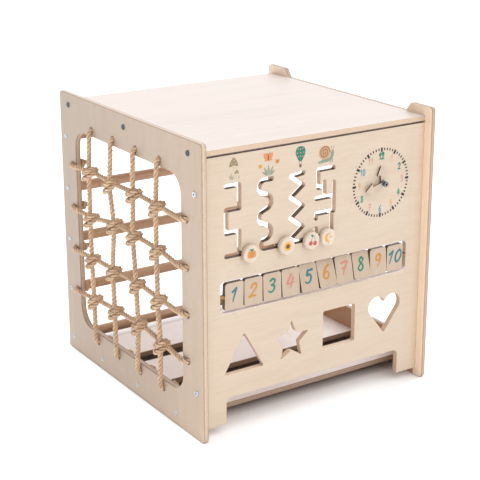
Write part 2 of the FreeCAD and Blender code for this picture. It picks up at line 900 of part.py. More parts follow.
def clock_hand(name, length, angle, y):
    """A flat arrow that points up and is then turned, with a round hub on the bolt."""
    body = new_body(name)
    arrow = new_sketch(body, "XZ_Plane", name + "_arrow")
    shoulder = "%s - hand_arrow_length" % length
    half = "hand_shaft / 2"
    barb = "hand_arrow / 2"
    outline(
        arrow,
        [
            ("-" + half, "0"),
            (half, "0"),
            (half, shoulder),
            (barb, shoulder),
            ("0", length),
            ("-" + barb, shoulder),
            ("-" + half, shoulder),
        ],
    )
    pad(body, arrow, "hand_thickness", backwards=True)
    hub = new_sketch(body, "XZ_Plane", name + "_hub")
    circle(hub, "0", "0", "hand_hub")
    pad(body, hub, "hand_thickness", backwards=True)
    bore = new_sketch(body, "XZ_Plane", name + "_bore")
    circle(bore, "0", "0", "clock_bolt + 2 * fit_clearance")
    cut_through(body, bore)
    return place(body, "clock_x", y, "clock_z", Rotation(Vector(0, 1, 0), -number(angle)))


FIRST_WASHER = "(face_recess - washer_thickness)"
HOUR_FRONT = "(%s - hand_thickness)" % FIRST_WASHER
SPACER_FRONT = "(%s - spacer_thickness)" % HOUR_FRONT
MINUTE_FRONT = "(%s - hand_thickness)" % SPACER_FRONT
HEAD_BACK = "(%s - washer_thickness)" % MINUTE_FRONT
BOLT_END = "(%s + washer_thickness + clock_nut_thickness + clock_bolt_spare)" % PANEL_BACK
pieces.append(clock_hand("hour_hand", "hour_length", "hour_angle", HOUR_FRONT))
pieces.append(clock_hand("minute_hand", "minute_length", "minute_angle", MINUTE_FRONT))
washers = doc.addObject("Part::Compound", "clock_washers")
washers.Label = "clock_washers"
washers.Links = [
    washer("washer_on_panel", FIRST_WASHER, "washer_thickness"),
    washer("washer_between_hands", SPACER_FRONT, "spacer_thickness"),
    washer("washer_under_head", HEAD_BACK, "washer_thickness"),
    washer("washer_behind_panel", PANEL_BACK, "washer_thickness"),
]
pieces.append(washers)


def socket(name, across_flats, depth, x, y, z, rotation):
    """A hexagonal recess."""
    recess = doc.addObject("Part::Prism", name)
    recess.Polygon = 6
    bind(recess, Circumradius="%s / sqrt(3)" % across_flats, Height=depth)
    return place(recess, x, y, z, rotation)


shank_length = "%s - %s" % (BOLT_END, HEAD_BACK)
shank = cylinder("clock_shank", "clock_bolt", shank_length, "clock_x", HEAD_BACK, "clock_z", "y")
blank = cylinder(
    "clock_head_blank",
    "clock_head",
    "clock_head_thickness",
    "clock_x",
    HEAD_BACK,
    "clock_z",
    "-y",
)
doc.recompute()
head_y = number(HEAD_BACK) - number("clock_head_thickness") - number(MIDDLE_Y)
head = rounded(
    "clock_head_round",
    blank,
    "clock_head_edge",
    lambda edge: lies_flat(edge, 1, head_y),
)
bolt = doc.addObject("Part::Fuse", "clock_bolt_blank")
bolt.Base = head
bolt.Tool = shank
recess = socket(
    "clock_socket",
    "bolt_socket",
    "clock_head_thickness / 2",
    "clock_x",
    "%s - clock_head_thickness" % HEAD_BACK,
    "clock_z",
    TURNS["y"],
)
doc.recompute()
pieces.append(cut("clock_bolt", bolt, [recess]))
nut_front = "(%s + washer_thickness)" % PANEL_BACK
nut = socket(
    "clock_nut_blank",
    "clock_nut",
    "clock_nut_thickness",
    "clock_x",
    nut_front,
    "clock_z",
    TURNS["y"],
)
bore = "clock_bolt + 2 * fit_clearance"
hole = cylinder("nut_bore", bore, "clock_nut_thickness", "clock_x", nut_front, "clock_z", "y")
pieces.append(cut("clock_nut", nut, [hole]))


# Bolts and screws: one pattern of each, linked to every place that has one.
def fastener(name, head, head_thickness, diameter, reach, recess_size):
    """A fastener along +x whose head bears on x = 0."""
    dome = doc.addObject("Part::Cone", name + "_dome")
    dome.Placement = Placement(Vector(), TURNS["-x"])
    bind(dome, Radius1="%s / 2" % head, Radius2="%s / 2 - head_edge" % head, Height=head_thickness)
    pin = doc.addObject("Part::Cylinder", name + "_pin")
    pin.Placement = Placement(Vector(), TURNS["x"])
    bind(pin, Radius="%s / 2" % diameter, Height="ply + %s" % reach)
    solid = doc.addObject("Part::Fuse", name + "_solid")
    solid.Base = dome
    solid.Tool = pin
    hexagon = doc.addObject("Part::Prism", name + "_hexagon")
    hexagon.Polygon = 6
    hexagon.Placement = Placement(Vector(), TURNS["x"])
    bind(hexagon, Circumradius="%s / sqrt(3)" % recess_size, Height=head_thickness + " * socket_depth")
    bind(hexagon, Placement__Base__x="-" + head_thickness)
    doc.recompute()
    return cut(name, solid, [hexagon])


def at_both_sides(name, master, spots, depth="0"):
    """One node that holds a copy of the master at each spot of both sides."""
    copies = []
    for end, x, rotation in (
        ("left", depth, Rotation()),
        ("right", "cube_width - (%s)" % depth, Rotation(Vector(0, 0, 1), 180)),
    ):
        for index, (y, z) in enumerate(spots):
            copy = doc.addObject("App::Link", "%s_%s_%d" % (name, end, index))
            copy.LinkedObject = master
            copies.append(place(copy, x, y, z, rotation))
    group = doc.addObject("Part::Compound", name)
    group.Links = copies
    group.Label = name
    return group


panel_bolt = fastener(
    "bolt_pattern", "bolt_head", "bolt_head_thickness", "bolt_diameter", "bolt_reach", "bolt_socket"
)
screw = fastener(
    "screw_pattern",
    "screw_head",
    "screw_head_thickness",
    "screw_diameter",
    "screw_reach",
    "screw_socket",
)
pieces.append(at_both_sides("top_board_bolts", panel_bolt, TOP_BOLTS))
pieces.append(at_both_sides("front_panel_bolts", panel_bolt, PANEL_BOLTS))
pieces.append(at_both_sides("rung_screws", screw, RUNG_SCREWS))
pieces.append(at_both_sides("floor_board_screws", screw, SLAT_SCREWS))


def barrel_nut(name, way):
    """A cylinder across the bolt, which passes through its middle."""
    blank = doc.addObject("Part::Cylinder", name + "_blank")
    bind(blank, Radius="barrel_diameter / 2", Height="barrel_length")
    blank.Placement = Placement(Vector(), TURNS[way])
    bind(blank, **{"Placement__Base__" + way[-1]: "-barrel_length / 2"})
    hole = doc.addObject("Part::Cylinder", name + "_hole")
    bind(hole, Radius="bolt_diameter / 2 + fit_clearance", Height="barrel_diameter + 2")
    hole.Placement = Placement(Vector(), TURNS["x"])
    bind(hole, Placement__Base__x="-barrel_diameter / 2 - 1")
    doc.recompute()
    return cut(name, blank, [hole])


depth = "ply + barrel_place"
pieces.append(at_both_sides("top_barrel_nuts", barrel_nut("upright_barrel", "z"), TOP_BOLTS, depth))
pieces.append(at_both_sides("panel_barrel_nuts", barrel_nut("level_barrel", "y"), PANEL_BOLTS, depth))
pin = doc.addObject("Part::Cylinder", "dowel_pin")
pin.Placement = Placement(Vector(), TURNS["x"])
bind(pin, Radius="slat_dowel_diameter / 2", Height="slat_dowel_length")
dowel = doc.addObject("Part::Compound", "dowel_pattern")
dowel.Links = [pin]
doc.recompute()
depth = "ply - slat_dowel_seat"
pieces.append(at_both_sides("floor_board_dowels", dowel, SLAT_DOWELS, depth))


# The rope net. Each rope runs straight along the outer face between two holes. At each end
# it folds through its hole to a stopper knot and a short tail behind the board.
def rounded_path(corners, radius):
    """Straight runs through the corners, joined by tangent arcs of one radius."""
    edges = []
    last = corners[0]
    for before, corner, after in zip(corners, corners[1:], corners[2:]):
        come = (before - corner).normalize()
        leave = (after - corner).normalize()
        half = come.getAngle(leave) / 2
        trim = radius / math.tan(half)
        start = corner + come * trim
        finish = corner + leave * trim
        middle = corner + (come + leave).normalize() * (radius / math.sin(half) - radius)
        edges.append(Part.makeLine(last, start))
        edges.append(Part.Arc(start, middle, finish).toShape())
        last = finish
    edges.append(Part.makeLine(last, corners[-1]))
    return Part.Wire(edges)


def stopper_knot(start):
    """The knot behind the board that keeps the rope from slipping out through its hole."""
    thin = number("rope_diameter") / 2 + number("contact_gap")
    thick = number("knot_diameter") / 2
    length = number("knot_length")
    shoulder = number("knot_shoulder")
    outline_points = [
        start,
        start + Vector(0, 0, thin),
        start + Vector(shoulder, 0, thick),
        start + Vector(length - shoulder, 0, thick),
        start + Vector(length, 0, thin),
        start + Vector(length, 0, 0),
        start,
    ]
    face = Part.Face(Part.makePolygon(outline_points))
    return face.revolve(start, Vector(1, 0, 0), 360)


def fold_level(hole, inward):
    """Where the folded rope crosses the board, so that it rests on its hole's round rim."""
    touch = number("rope_fold - rope_diameter / 2 - contact_gap - edge_round")
    sideways = number("rope_fold - rope_stand - edge_round")
    rim = number("rope_hole / 2 + edge_round")
    rise = math.sqrt(touch**2 - sideways**2)
    return number(hole) + inward * (rim + rise - number("rope_fold"))


def rope(name, along, across, holes, crossings):
    """One rope of the net; along is its direction and across its place on the other axis."""
    turned = along == "y"

    def spot(x, reach):
        if turned:
            return Vector(x, reach, across)
        return Vector(x, across, reach)

    stand = number("rope_stand")
    radius = number("rope_diameter") / 2
    knot = number("ply + contact_gap")
    tip = knot + number("knot_length + rope_tail")
    low = fold_level(holes[0], 1)
    high = fold_level(holes[1], -1)
    corners = [spot(tip, low), spot(-stand, low), spot(-stand, high), spot(tip, high)]
    path = rounded_path(corners, number("rope_fold"))
    profile = Part.Wire(Part.makeCircle(radius, corners[0], Vector(1, 0, 0)))
    tube = path.makePipeShell([profile], True, False)
    length = path.Length
    expected = math.pi * radius**2 * length
    print(
        "%s: length %.1f, fold radius %.1f, volume over section times length %.4f"
        % (name, length, number("rope_fold"), tube.Volume / expected)
    )
    wraps = [stopper_knot(spot(knot, level)) for level in (low, high)]
    if crossings:
        upright = Vector(0, 0, 1)
        tilt = Rotation(Vector(1, 0, 0), -number("wrap_tilt"))
        bore = radius + number("contact_gap")
        reach = number("wrap_radius + wrap_thickness")
        for crossing in crossings:
            centre = spot(-stand, number(crossing))
            tube = tube.cut(Part.makeCylinder(bore, 2 * reach, centre - upright * reach, upright))
            for step in (-1, 1):
                shift = upright * (step * number("wrap_spread"))
                wrap = Part.makeTorus(
                    number("wrap_radius"),
                    number("wrap_thickness") / 2,
                    centre + shift,
                    tilt.multVec(upright),
                )
                passage = Part.makeCylinder(bore, 4 * reach, centre - upright * 2 * reach, upright)
                wraps.append(wrap.cut(passage))
    solid = tube.multiFuse(wraps)
    piece = doc.addObject("Part::Feature", name)
    piece.Shape = solid
    piece.Label = name
    return place(piece, "0", "0", "0")


for index, y in enumerate(ROPE_YS, start=1):
    pieces.append(
        rope(
            "rope_vertical_%d" % index,
            "z",
            number(y),
            ("rope_hole_bottom", "rope_hole_top"),
            [],
        )
    )
for index, z in enumerate(ROPE_ZS, start=1):
    pieces.append(
        rope(
            "rope_horizontal_%d" % index,
            "y",
            number(z),
            ("rope_hole_front", "rope_hole_back"),
            ROPE_YS,
        )
    )

doc.recompute()
for thing in doc.Objects:
    if "Invalid" in thing.State or "Error" in thing.State:
        raise ValueError("%s is %s" % (thing.Name, thing.State))
os.makedirs("parts", exist_ok=True)
for piece in pieces:
    shape = piece.Shape
    if shape.isNull() or not shape.isValid() or not shape.Solids:
        raise ValueError("%s has no valid solid" % piece.Label)
    shape.exportStep("parts/%s.step" % piece.Label)
print("%d pieces" % len(pieces))
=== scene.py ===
import math
import random

import bpy
import numpy as np
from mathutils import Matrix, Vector


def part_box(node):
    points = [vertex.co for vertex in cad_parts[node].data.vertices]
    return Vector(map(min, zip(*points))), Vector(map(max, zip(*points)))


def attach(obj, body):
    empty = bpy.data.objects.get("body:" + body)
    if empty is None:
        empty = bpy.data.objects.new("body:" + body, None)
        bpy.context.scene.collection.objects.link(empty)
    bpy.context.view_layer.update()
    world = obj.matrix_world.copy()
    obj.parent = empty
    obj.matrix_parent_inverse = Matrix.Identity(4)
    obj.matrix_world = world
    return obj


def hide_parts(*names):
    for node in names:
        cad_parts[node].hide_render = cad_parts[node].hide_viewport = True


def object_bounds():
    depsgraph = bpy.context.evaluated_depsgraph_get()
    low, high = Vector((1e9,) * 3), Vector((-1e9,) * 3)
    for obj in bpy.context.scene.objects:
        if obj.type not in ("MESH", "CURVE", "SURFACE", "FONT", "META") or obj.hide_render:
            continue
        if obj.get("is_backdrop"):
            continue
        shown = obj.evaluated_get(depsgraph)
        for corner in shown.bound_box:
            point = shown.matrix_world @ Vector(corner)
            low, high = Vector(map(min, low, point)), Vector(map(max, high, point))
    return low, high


# An activity cube in birch plywood: mazes, turning numbers and a clock in front, a rope net at its left side.
# Lengths are in millimetres, from the cube's left outer face, the sides' front edges and the floor.
# In metres: the floor's settings, the camera's near and far, a wood's sillFrom, sillTo, slotsFrom and below.

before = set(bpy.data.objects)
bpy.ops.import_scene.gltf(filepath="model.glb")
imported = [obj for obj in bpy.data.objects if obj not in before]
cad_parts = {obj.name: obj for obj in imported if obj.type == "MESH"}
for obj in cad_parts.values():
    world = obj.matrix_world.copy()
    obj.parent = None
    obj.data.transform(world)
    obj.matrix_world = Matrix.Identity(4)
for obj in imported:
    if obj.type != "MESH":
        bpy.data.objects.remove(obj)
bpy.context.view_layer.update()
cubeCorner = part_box("left_side_panel")[0]
cubeWidth = (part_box("right_side_panel")[1].x - cubeCorner.x) * 1000
print("frame loaded")


def spot(x, y, z):
    # a place on the cube, in the frame's metres
    return Vector((cubeCorner.x + x / 1000, cubeCorner.y + y / 1000, z / 1000))


def makeMesh(name, points, faces, materials, faceMaterials=None, smooth=False):
    mesh = bpy.data.meshes.new(name)
    mesh.from_pydata([tuple(point) for point in points], [], [tuple(face) for face in faces])
    for material in materials:
        mesh.materials.append(material)
    if faceMaterials is not None:
        mesh.polygons.foreach_set("material_index", list(faceMaterials))
    if smooth:
        mesh.polygons.foreach_set("use_smooth", [True] * len(mesh.polygons))
    mesh.update()
    thing = bpy.data.objects.new(name, mesh)
    bpy.context.scene.collection.objects.link(thing)
    return thing


def newMaterial(name, roughness, metallic=0.0):
    material = bpy.data.materials.new(name)
    material.use_nodes = True
    nodes = material.node_tree.nodes
    shader = nodes["Principled BSDF"]
    shader.inputs["Roughness"].default_value = roughness
    shader.inputs["Metallic"].default_value = metallic
    return material, nodes, material.node_tree.links, shader


def mathNode(nodes, links, kind, *inputs, clamp=False):
    node = nodes.new("ShaderNodeMath")
    node.operation = kind
    node.use_clamp = clamp
    for index, value in enumerate(inputs):
        if isinstance(value, (int, float)):
            node.inputs[index].default_value = value
        else:
            links.new(value, node.inputs[index])
    return node.outputs[0]


def axesOf(nodes, links, source):
    # the x, y and z of a place or a direction
    node = nodes.new("ShaderNodeSeparateXYZ")
    links.new(source, node.inputs[0])
    return node.outputs


def stretched(nodes, links, source, scale, shift, detail=5, roughness=0.6, distortion=0.0):
    # noise drawn out along the axes with the smaller scale, as grain is
    mapping = nodes.new("ShaderNodeMapping")
    mapping.inputs["Scale"].default_value = scale
    mapping.inputs["Location"].default_value = shift
    links.new(source, mapping.inputs["Vector"])
    noise = nodes.new("ShaderNodeTexNoise")
    noise.inputs["Scale"].default_value = 1.0
    noise.inputs["Detail"].default_value = detail
    noise.inputs["Roughness"].default_value = roughness
    noise.inputs["Distortion"].default_value = distortion
    links.new(mapping.outputs[0], noise.inputs["Vector"])
    return noise.outputs[0]


def ramp(nodes, links, source, stops):
    node = nodes.new("ShaderNodeValToRGB")
    elements = node.color_ramp.elements
    while len(elements) < len(stops):
        elements.new(0.5)
    for element, (place, colour) in zip(elements, stops):
        element.position = place
        element.color = (*colour, 1)
    links.new(source, node.inputs[0])
    return node.outputs[0]


def mix(nodes, links, factor, first, second, blend="MIX"):
    node = nodes.new("ShaderNodeMix")
    node.data_type = "RGBA"
    node.blend_type = blend
    for value, index in ((factor, 0), (first, 6), (second, 7)):
        if isinstance(value, (int, float)):
            node.inputs[index].default_value = value
        elif isinstance(value, tuple):
            node.inputs[index].default_value = (*value, 1)
        else:
            links.new(value, node.inputs[index])
    return node.outputs[2]


def fade(nodes, links, source, start, finish):
    # black before start, white after finish
    return ramp(nodes, links, source, [(start, (0, 0, 0)), (finish, (1, 1, 1))])


def bump(nodes, links, shader, height, strength, distance):
    node = nodes.new("ShaderNodeBump")
    node.inputs["Strength"].default_value = strength
    node.inputs["Distance"].default_value = distance
    links.new(height, node.inputs["Height"])
    links.new(node.outputs[0], shader.inputs["Normal"])


def grainShift(seed):
    # another stretch of wood for each piece
    random.seed(seed)
    return tuple(random.uniform(0, 50) for axis in "xyz")


def alongGrain(grain, scales):
    across, along = scales
    return [along if axis == grain else across for axis in "xyz"]


# grain scales are across and along; a ply's colours run from one face of the board to the other
plywood = {"light": (0.67, 0.56, 0.45), "dark": (0.61, 0.48, 0.365), "rosy": (0.67, 0.53, 0.425),
           "edgeLight": (0.64, 0.49, 0.36), "edgeDark": (0.40, 0.26, 0.165), "glue": (0.22, 0.13, 0.075),
           "layers": 7, "roughness": 0.38, "figure": (34.0, 2.2), "flecks": (620.0, 26.0),
           "clouds": (7.0, 1.6), "endGrain": 260, "flatFrom": 0.62, "relief": 0.12}
frontWood = {"light": (0.578, 0.478, 0.372), "dark": (0.546, 0.436, 0.329), "rosy": (0.578, 0.459, 0.355),
             "edgeLight": (0.78, 0.61, 0.46), "edgeDark": (0.55, 0.39, 0.27), "glue": (0.30, 0.18, 0.11),
             # painted shade for the cut edges that face up, from slotsFrom up, and for the panel's top edge
             # under the top board
             "paintedSlotShade": (0.11, 0.075, 0.055), "slotsFrom": 0.43,
             # a painted highlight on the number window's sill, between sillFrom and sillTo
             "sillHighlight": (1.5, 1.75, 2.3), "sillFrom": 0.300, "sillTo": 0.318, "right": (1.17, 1.16, 1.14)}
# the top board: a copy of the plywood made paler as a painted reflection of the bright surroundings; the
# lowest plies of its edge are near black, painted shade of the gap over the front panel
paintedSheenTop = {"light": (0.65, 0.575, 0.53), "dark": (0.61, 0.53, 0.475), "rosy": (0.655, 0.56, 0.515),
           "plies": ((0.0, (0.05, 0.022, 0.013)), (0.14, (0.05, 0.022, 0.013)), (0.17, (0.55, 0.41, 0.30)),
                     (0.50, (0.60, 0.46, 0.34)), (0.56, (0.50, 0.36, 0.25)), (0.62, (0.60, 0.46, 0.34)),
                     (0.88, (0.57, 0.43, 0.31)), (1.0, (0.50, 0.35, 0.24)))}
# the floor boards: a copy of the plywood made pale as painted light and a painted reflection of the bright
# surroundings
paintedSheenSlat = {"light": (0.93, 0.875, 0.86), "dark": (0.88, 0.81, 0.79), "rosy": (0.93, 0.86, 0.85),
            "edgeLight": (0.46, 0.33, 0.24), "edgeDark": (0.36, 0.24, 0.17)}
# the net's side: a copy of the plywood darkened as painted shade, darker towards the back and lighter at its
# foot as painted shade and light; its edge plies are darker at both faces, painted shade where the arris
# turns away and at the joint with the front panel
paintedShadeNetSide = {"light": (0.51, 0.395, 0.293), "dark": (0.478, 0.358, 0.254), "rosy": (0.51, 0.377, 0.28),
            "back": (0.80, 0.82, 0.84), "paintedLowBackShade": (0.85, 0.86, 0.87),
            "paintedFootLight": ((0.0, 1.16), (0.05, 1.08), (0.12, 1.02), (0.22, 1.0)),
            "plies": ((0.0, (0.40, 0.27, 0.18)), (0.18, (0.40, 0.27, 0.18)), (0.26, (0.58, 0.46, 0.355)),
                      (0.46, (0.58, 0.46, 0.355)), (0.52, (0.52, 0.405, 0.305)), (0.76, (0.52, 0.405, 0.305)),
                      (0.84, (0.36, 0.24, 0.155)), (1.0, (0.36, 0.24, 0.155)))}
# the open side: a copy of the plywood lightened as painted light; its face inside the cube, lower than below
# and further back than behind, is darkened as painted shade, and its outer face is darkened back
paintedLightOpenSide = {"light": (1.0, 0.80, 0.61), "dark": (0.94, 0.73, 0.53), "rosy": (1.0, 0.77, 0.58),
            "inward": (0.50, 0.36, 0.27), "outerWithoutPaintedLight": (0.62, 0.62, 0.63), "below": 0.71, "behind": 32,
            "plies": ((0.0, (0.55, 0.40, 0.29)), (0.12, (0.55, 0.40, 0.29)), (0.20, (0.33, 0.22, 0.15)),
                      (0.34, (0.36, 0.24, 0.17)), (0.44, (0.50, 0.37, 0.28)), (0.70, (0.45, 0.33, 0.25)),
                      (0.80, (0.34, 0.23, 0.18)), (1.0, (0.33, 0.23, 0.19)))}
tileWood = {"light": (0.49, 0.39, 0.295), "dark": (0.435, 0.335, 0.24), "rosy": (0.49, 0.37, 0.28),
            "layers": 9, "edgeLight": (0.11, 0.06, 0.035), "edgeDark": (0.055, 0.03, 0.02),
            "glue": (0.03, 0.018, 0.012)}
handWood = {"light": (0.54, 0.445, 0.345), "dark": (0.48, 0.38, 0.285), "rosy": (0.54, 0.42, 0.33),
            "layers": 3, "edgeLight": (0.11, 0.06, 0.035), "edgeDark": (0.055, 0.03, 0.02),
            "glue": (0.03, 0.018, 0.012)}


def woodFace(nodes, links, place, wood, grain, shift):
    figure = stretched(nodes, links, place, alongGrain(grain, wood["figure"]), shift, 6, 0.62, 0.6)
    flecks = stretched(nodes, links, place, alongGrain(grain, wood["flecks"]), shift, 3, 0.5)
    clouds = stretched(nodes, links, place, alongGrain(grain, wood["clouds"]), shift, 3, 0.5, 0.4)
    tone = ramp(nodes, links, figure, [(0.30, wood["dark"]), (0.62, wood["light"])])
    blush = ramp(nodes, links, clouds, [(0.35, (0, 0, 0)), (0.75, (0.75, 0.75, 0.75))])
    tone = mix(nodes, links, blush, tone, wood["rosy"])
    streaks = ramp(nodes, links, flecks, [(0.30, (0.88, 0.85, 0.82)), (0.55, (1, 1, 1))])
    return mix(nodes, links, 0.55, tone, streaks, "MULTIPLY"), flecks


def cutPlies(nodes, links, place, wood, deep, shift):
    # the veneers on a cut edge, from how deep in the board a point lies
    if "plies" in wood:
        plies = ramp(nodes, links, deep, wood["plies"])
    else:
        count = mathNode(nodes, links, "MULTIPLY", deep, wood["layers"])
        pair = mathNode(nodes, links, "FRACT", mathNode(nodes, links, "MULTIPLY", count, 0.5))
        plies = ramp(nodes, links, pair, [(0.0, wood["glue"]),
                                          (0.06, wood["edgeLight"]), (0.50, wood["edgeLight"]),
                                          (0.56, wood["glue"]),
                                          (0.62, wood["edgeDark"]), (0.95, wood["edgeDark"])])
    pores = stretched(nodes, links, place, (wood["endGrain"],) * 3, shift, 3, 0.6)
    pores = ramp(nodes, links, pores, [(0.3, (0.72, 0.68, 0.64)), (0.7, (1.1, 1.08, 1.05))])
    return mix(nodes, links, 0.5, plies, pores, "MULTIPLY")


def scorchedSlots(nodes, links, plies, wood, height, upward):
    # painted shade darkens the slots' cut edges that face up and the panel's top edge; a painted highlight
    # lightens the window's sill
    slotShade = ramp(nodes, links, upward, [(0.55, (1, 1, 1)), (0.85, wood["paintedSlotShade"])])
    aboveTiles = mathNode(nodes, links, "GREATER_THAN", height, wood["slotsFrom"])
    slotShade = mix(nodes, links, aboveTiles, (1, 1, 1), slotShade)
    onSill = mathNode(nodes, links, "MULTIPLY",
                      mathNode(nodes, links, "GREATER_THAN", height, wood["sillFrom"]),
                      mathNode(nodes, links, "LESS_THAN", height, wood["sillTo"]))
    return mix(nodes, links, 1.0, plies, mix(nodes, links, onSill, slotShade, wood["sillHighlight"]), "MULTIPLY")


def netSideTone(nodes, links, tone, wood, backward, upward):
    # painted shade darkens the net's side towards the back, painted light brightens it at its foot
    upper = fade(nodes, links, upward, 0.18, 0.5)
    paintedRearShade = mix(nodes, links, fade(nodes, links, backward, 0.05, 0.95), (1, 1, 1), wood["back"])
    tone = mix(nodes, links, upper, tone, mix(nodes, links, 1.0, tone, paintedRearShade, "MULTIPLY"))
    paintedLowRearShade = mix(nodes, links, fade(nodes, links, backward, 0.1, 0.45), (1, 1, 1), wood["paintedLowBackShade"])
    tone = mix(nodes, links, upper, mix(nodes, links, 1.0, tone, paintedLowRearShade, "MULTIPLY"), tone)
    headroom = 0.7  # keeps the ramp's colours below 1
    paintedFootLight = ramp(nodes, links, upward, [(place, (headroom * gain,) * 3) for place, gain in wood["paintedFootLight"]])
    tone = mix(nodes, links, 1.0, tone, paintedFootLight, "MULTIPLY")
    return mix(nodes, links, 1.0, tone, (1 / headroom,) * 3, "MULTIPLY")


def openSideTone(nodes, links, tone, wood, where, sideways):
    # painted shade darkens the face inside the cube below the ears; the outer face is darkened too, to keep
    # the side's painted light off it
    low = mathNode(nodes, links, "MULTIPLY", mathNode(nodes, links, "LESS_THAN", where[2], wood["below"]),
                   mathNode(nodes, links, "GREATER_THAN", where[1], spot(0, wood["behind"], 0).y))
    inner = mathNode(nodes, links, "LESS_THAN", sideways, -0.5)
    paintedInsideShade = mix(nodes, links, 1.0, tone, wood["inward"], "MULTIPLY")
    tone = mix(nodes, links, mathNode(nodes, links, "MULTIPLY", low, inner), tone, paintedInsideShade)
    outer = mathNode(nodes, links, "GREATER_THAN", sideways, 0.5)
    return mix(nodes, links, outer, tone, mix(nodes, links, 1.0, tone, wood["outerWithoutPaintedLight"], "MULTIPLY"))


def plywoodMaterial(name, through, grain, seed, finish=None):
    wood = dict(plywood, **(finish or {}))
    material, nodes, links, shader = newMaterial(name, wood["roughness"])
    place = nodes.new("ShaderNodeTexCoord").outputs
    shift = grainShift(seed)
    tone, flecks = woodFace(nodes, links, place["Object"], wood, grain, shift)
    parts = axesOf(nodes, links, place["Generated"])
    facing = axesOf(nodes, links, place["Normal"])
    where = axesOf(nodes, links, place["Object"])
    thickness = "xyz".index(through)
    plies = cutPlies(nodes, links, place["Object"], wood, parts[thickness], shift)
    straight = mathNode(nodes, links, "ABSOLUTE", facing[thickness])
    flat = mathNode(nodes, links, "MULTIPLY",
                    mathNode(nodes, links, "SUBTRACT", straight, wood["flatFrom"]), 8.0, clamp=True)
    onEdge = mathNode(nodes, links, "SUBTRACT", 1.0, flat, clamp=True)
    if "paintedSlotShade" in wood:
        plies = scorchedSlots(nodes, links, plies, wood, where[2], facing[2])
        # painted light: the face is lightened towards its right end, where the right side panel's jutting
        # edge shades it
        right = ramp(nodes, links, parts[0], [(0.94, (1, 1, 1)), (0.995, wood["right"])])
        tone = mix(nodes, links, 1.0, tone, right, "MULTIPLY")
    if "back" in wood:
        tone = netSideTone(nodes, links, tone, wood, parts[1], parts[2])
    tone = mix(nodes, links, onEdge, tone, plies)
    if "inward" in wood:
        tone = openSideTone(nodes, links, tone, wood, where, facing[0])
    links.new(tone, shader.inputs["Base Color"])
    bump(nodes, links, shader, flecks, wood["relief"], 0.0004)
    return material


beech = {"light": (0.66, 0.44, 0.30), "dark": (0.52, 0.32, 0.20), "roughness": 0.5}
turnedWood = {"light": (0.68, 0.585, 0.50), "dark": (0.60, 0.49, 0.39), "roughness": 0.42}


def turnedMaterial(name, wood, grain, seed):
    material, nodes, links, shader = newMaterial(name, wood["roughness"])
    place = nodes.new("ShaderNodeTexCoord").outputs["Object"]
    shift = grainShift(seed)
    figure = stretched(nodes, links, place, alongGrain(grain, (90.0, 3.0)), shift, 5, 0.6, 0.5)
    flecks = stretched(nodes, links, place, alongGrain(grain, (700.0, 30.0)), shift, 3, 0.5)
    tone = ramp(nodes, links, figure, [(0.32, wood["dark"]), (0.66, wood["light"])])
    streaks = ramp(nodes, links, flecks, [(0.35, (0.78, 0.72, 0.68)), (0.6, (1, 1, 1))])
    links.new(mix(nodes, links, 0.6, tone, streaks, "MULTIPLY"), shader.inputs["Base Color"])
    bump(nodes, links, shader, flecks, 0.12, 0.0003)
    return material


steel = {"colour": (0.50, 0.57, 0.63), "dark": (0.22, 0.26, 0.30), "roughness": 0.30}
darkSteel = {"colour": (0.07, 0.085, 0.10), "dark": (0.03, 0.035, 0.042), "roughness": 0.30}
headSteel = {"colour": (0.19, 0.20, 0.21), "dark": (0.06, 0.065, 0.07), "roughness": 0.24}
# the brass is darkened as painted shade, for the rod's ends in the number window
shadedBrass = {"colour": (0.34, 0.20, 0.085), "dark": (0.10, 0.05, 0.025), "roughness": 0.3}


def metalMaterial(name, metal):
    material, nodes, links, shader = newMaterial(name, metal["roughness"], 1.0)
    place = nodes.new("ShaderNodeTexCoord").outputs["Object"]
    smudges = stretched(nodes, links, place, (320, 320, 320), (3, 5, 7), 4, 0.6)
    tone = ramp(nodes, links, smudges, [(0.3, metal["dark"]), (0.55, metal["colour"])])
    links.new(tone, shader.inputs["Base Color"])
    bump(nodes, links, shader, smudges, 0.05, 0.0002)
    return material


jute = {"light": (1.0, 0.77, 0.56), "dark": (0.47, 0.31, 0.195), "grooveShade": (0.13, 0.068, 0.036),
        "roughness": 0.85}


def ropeMaterial(name, seed):
    material, nodes, links, shader = newMaterial(name, jute["roughness"])
    place = nodes.new("ShaderNodeTexCoord").outputs
    shift = (seed * 3.1, seed * 1.7, 0)
    yarns = stretched(nodes, links, place["UV"], (60, 14, 1), shift, 4, 0.65, 0.6)
    fibres = stretched(nodes, links, place["UV"], (420, 46, 1), shift, 3, 0.6)
    patches = stretched(nodes, links, place["Object"], (26, 26, 26), shift, 3, 0.5)
    tone = ramp(nodes, links, yarns, [(0.30, jute["dark"]), (0.66, jute["light"])])
    lint = ramp(nodes, links, fibres, [(0.32, (0.55, 0.50, 0.45)), (0.62, (1.12, 1.1, 1.05))])
    tone = mix(nodes, links, 0.7, tone, lint, "MULTIPLY")
    wear = ramp(nodes, links, patches, [(0.35, (0.74, 0.70, 0.66)), (0.65, (1.1, 1.08, 1.05))])
    tone = mix(nodes, links, 0.5, tone, wear, "MULTIPLY")
    # painted shade: the grooves between the strands are darkened
    depth = nodes.new("ShaderNodeVertexColor")
    depth.layer_name = "grooveShade"
    links.new(mix(nodes, links, depth.outputs[0], jute["grooveShade"], tone), shader.inputs["Base Color"])
    bump(nodes, links, shader, mathNode(nodes, links, "ADD", yarns, fibres), 0.7, 0.0009)
    return material


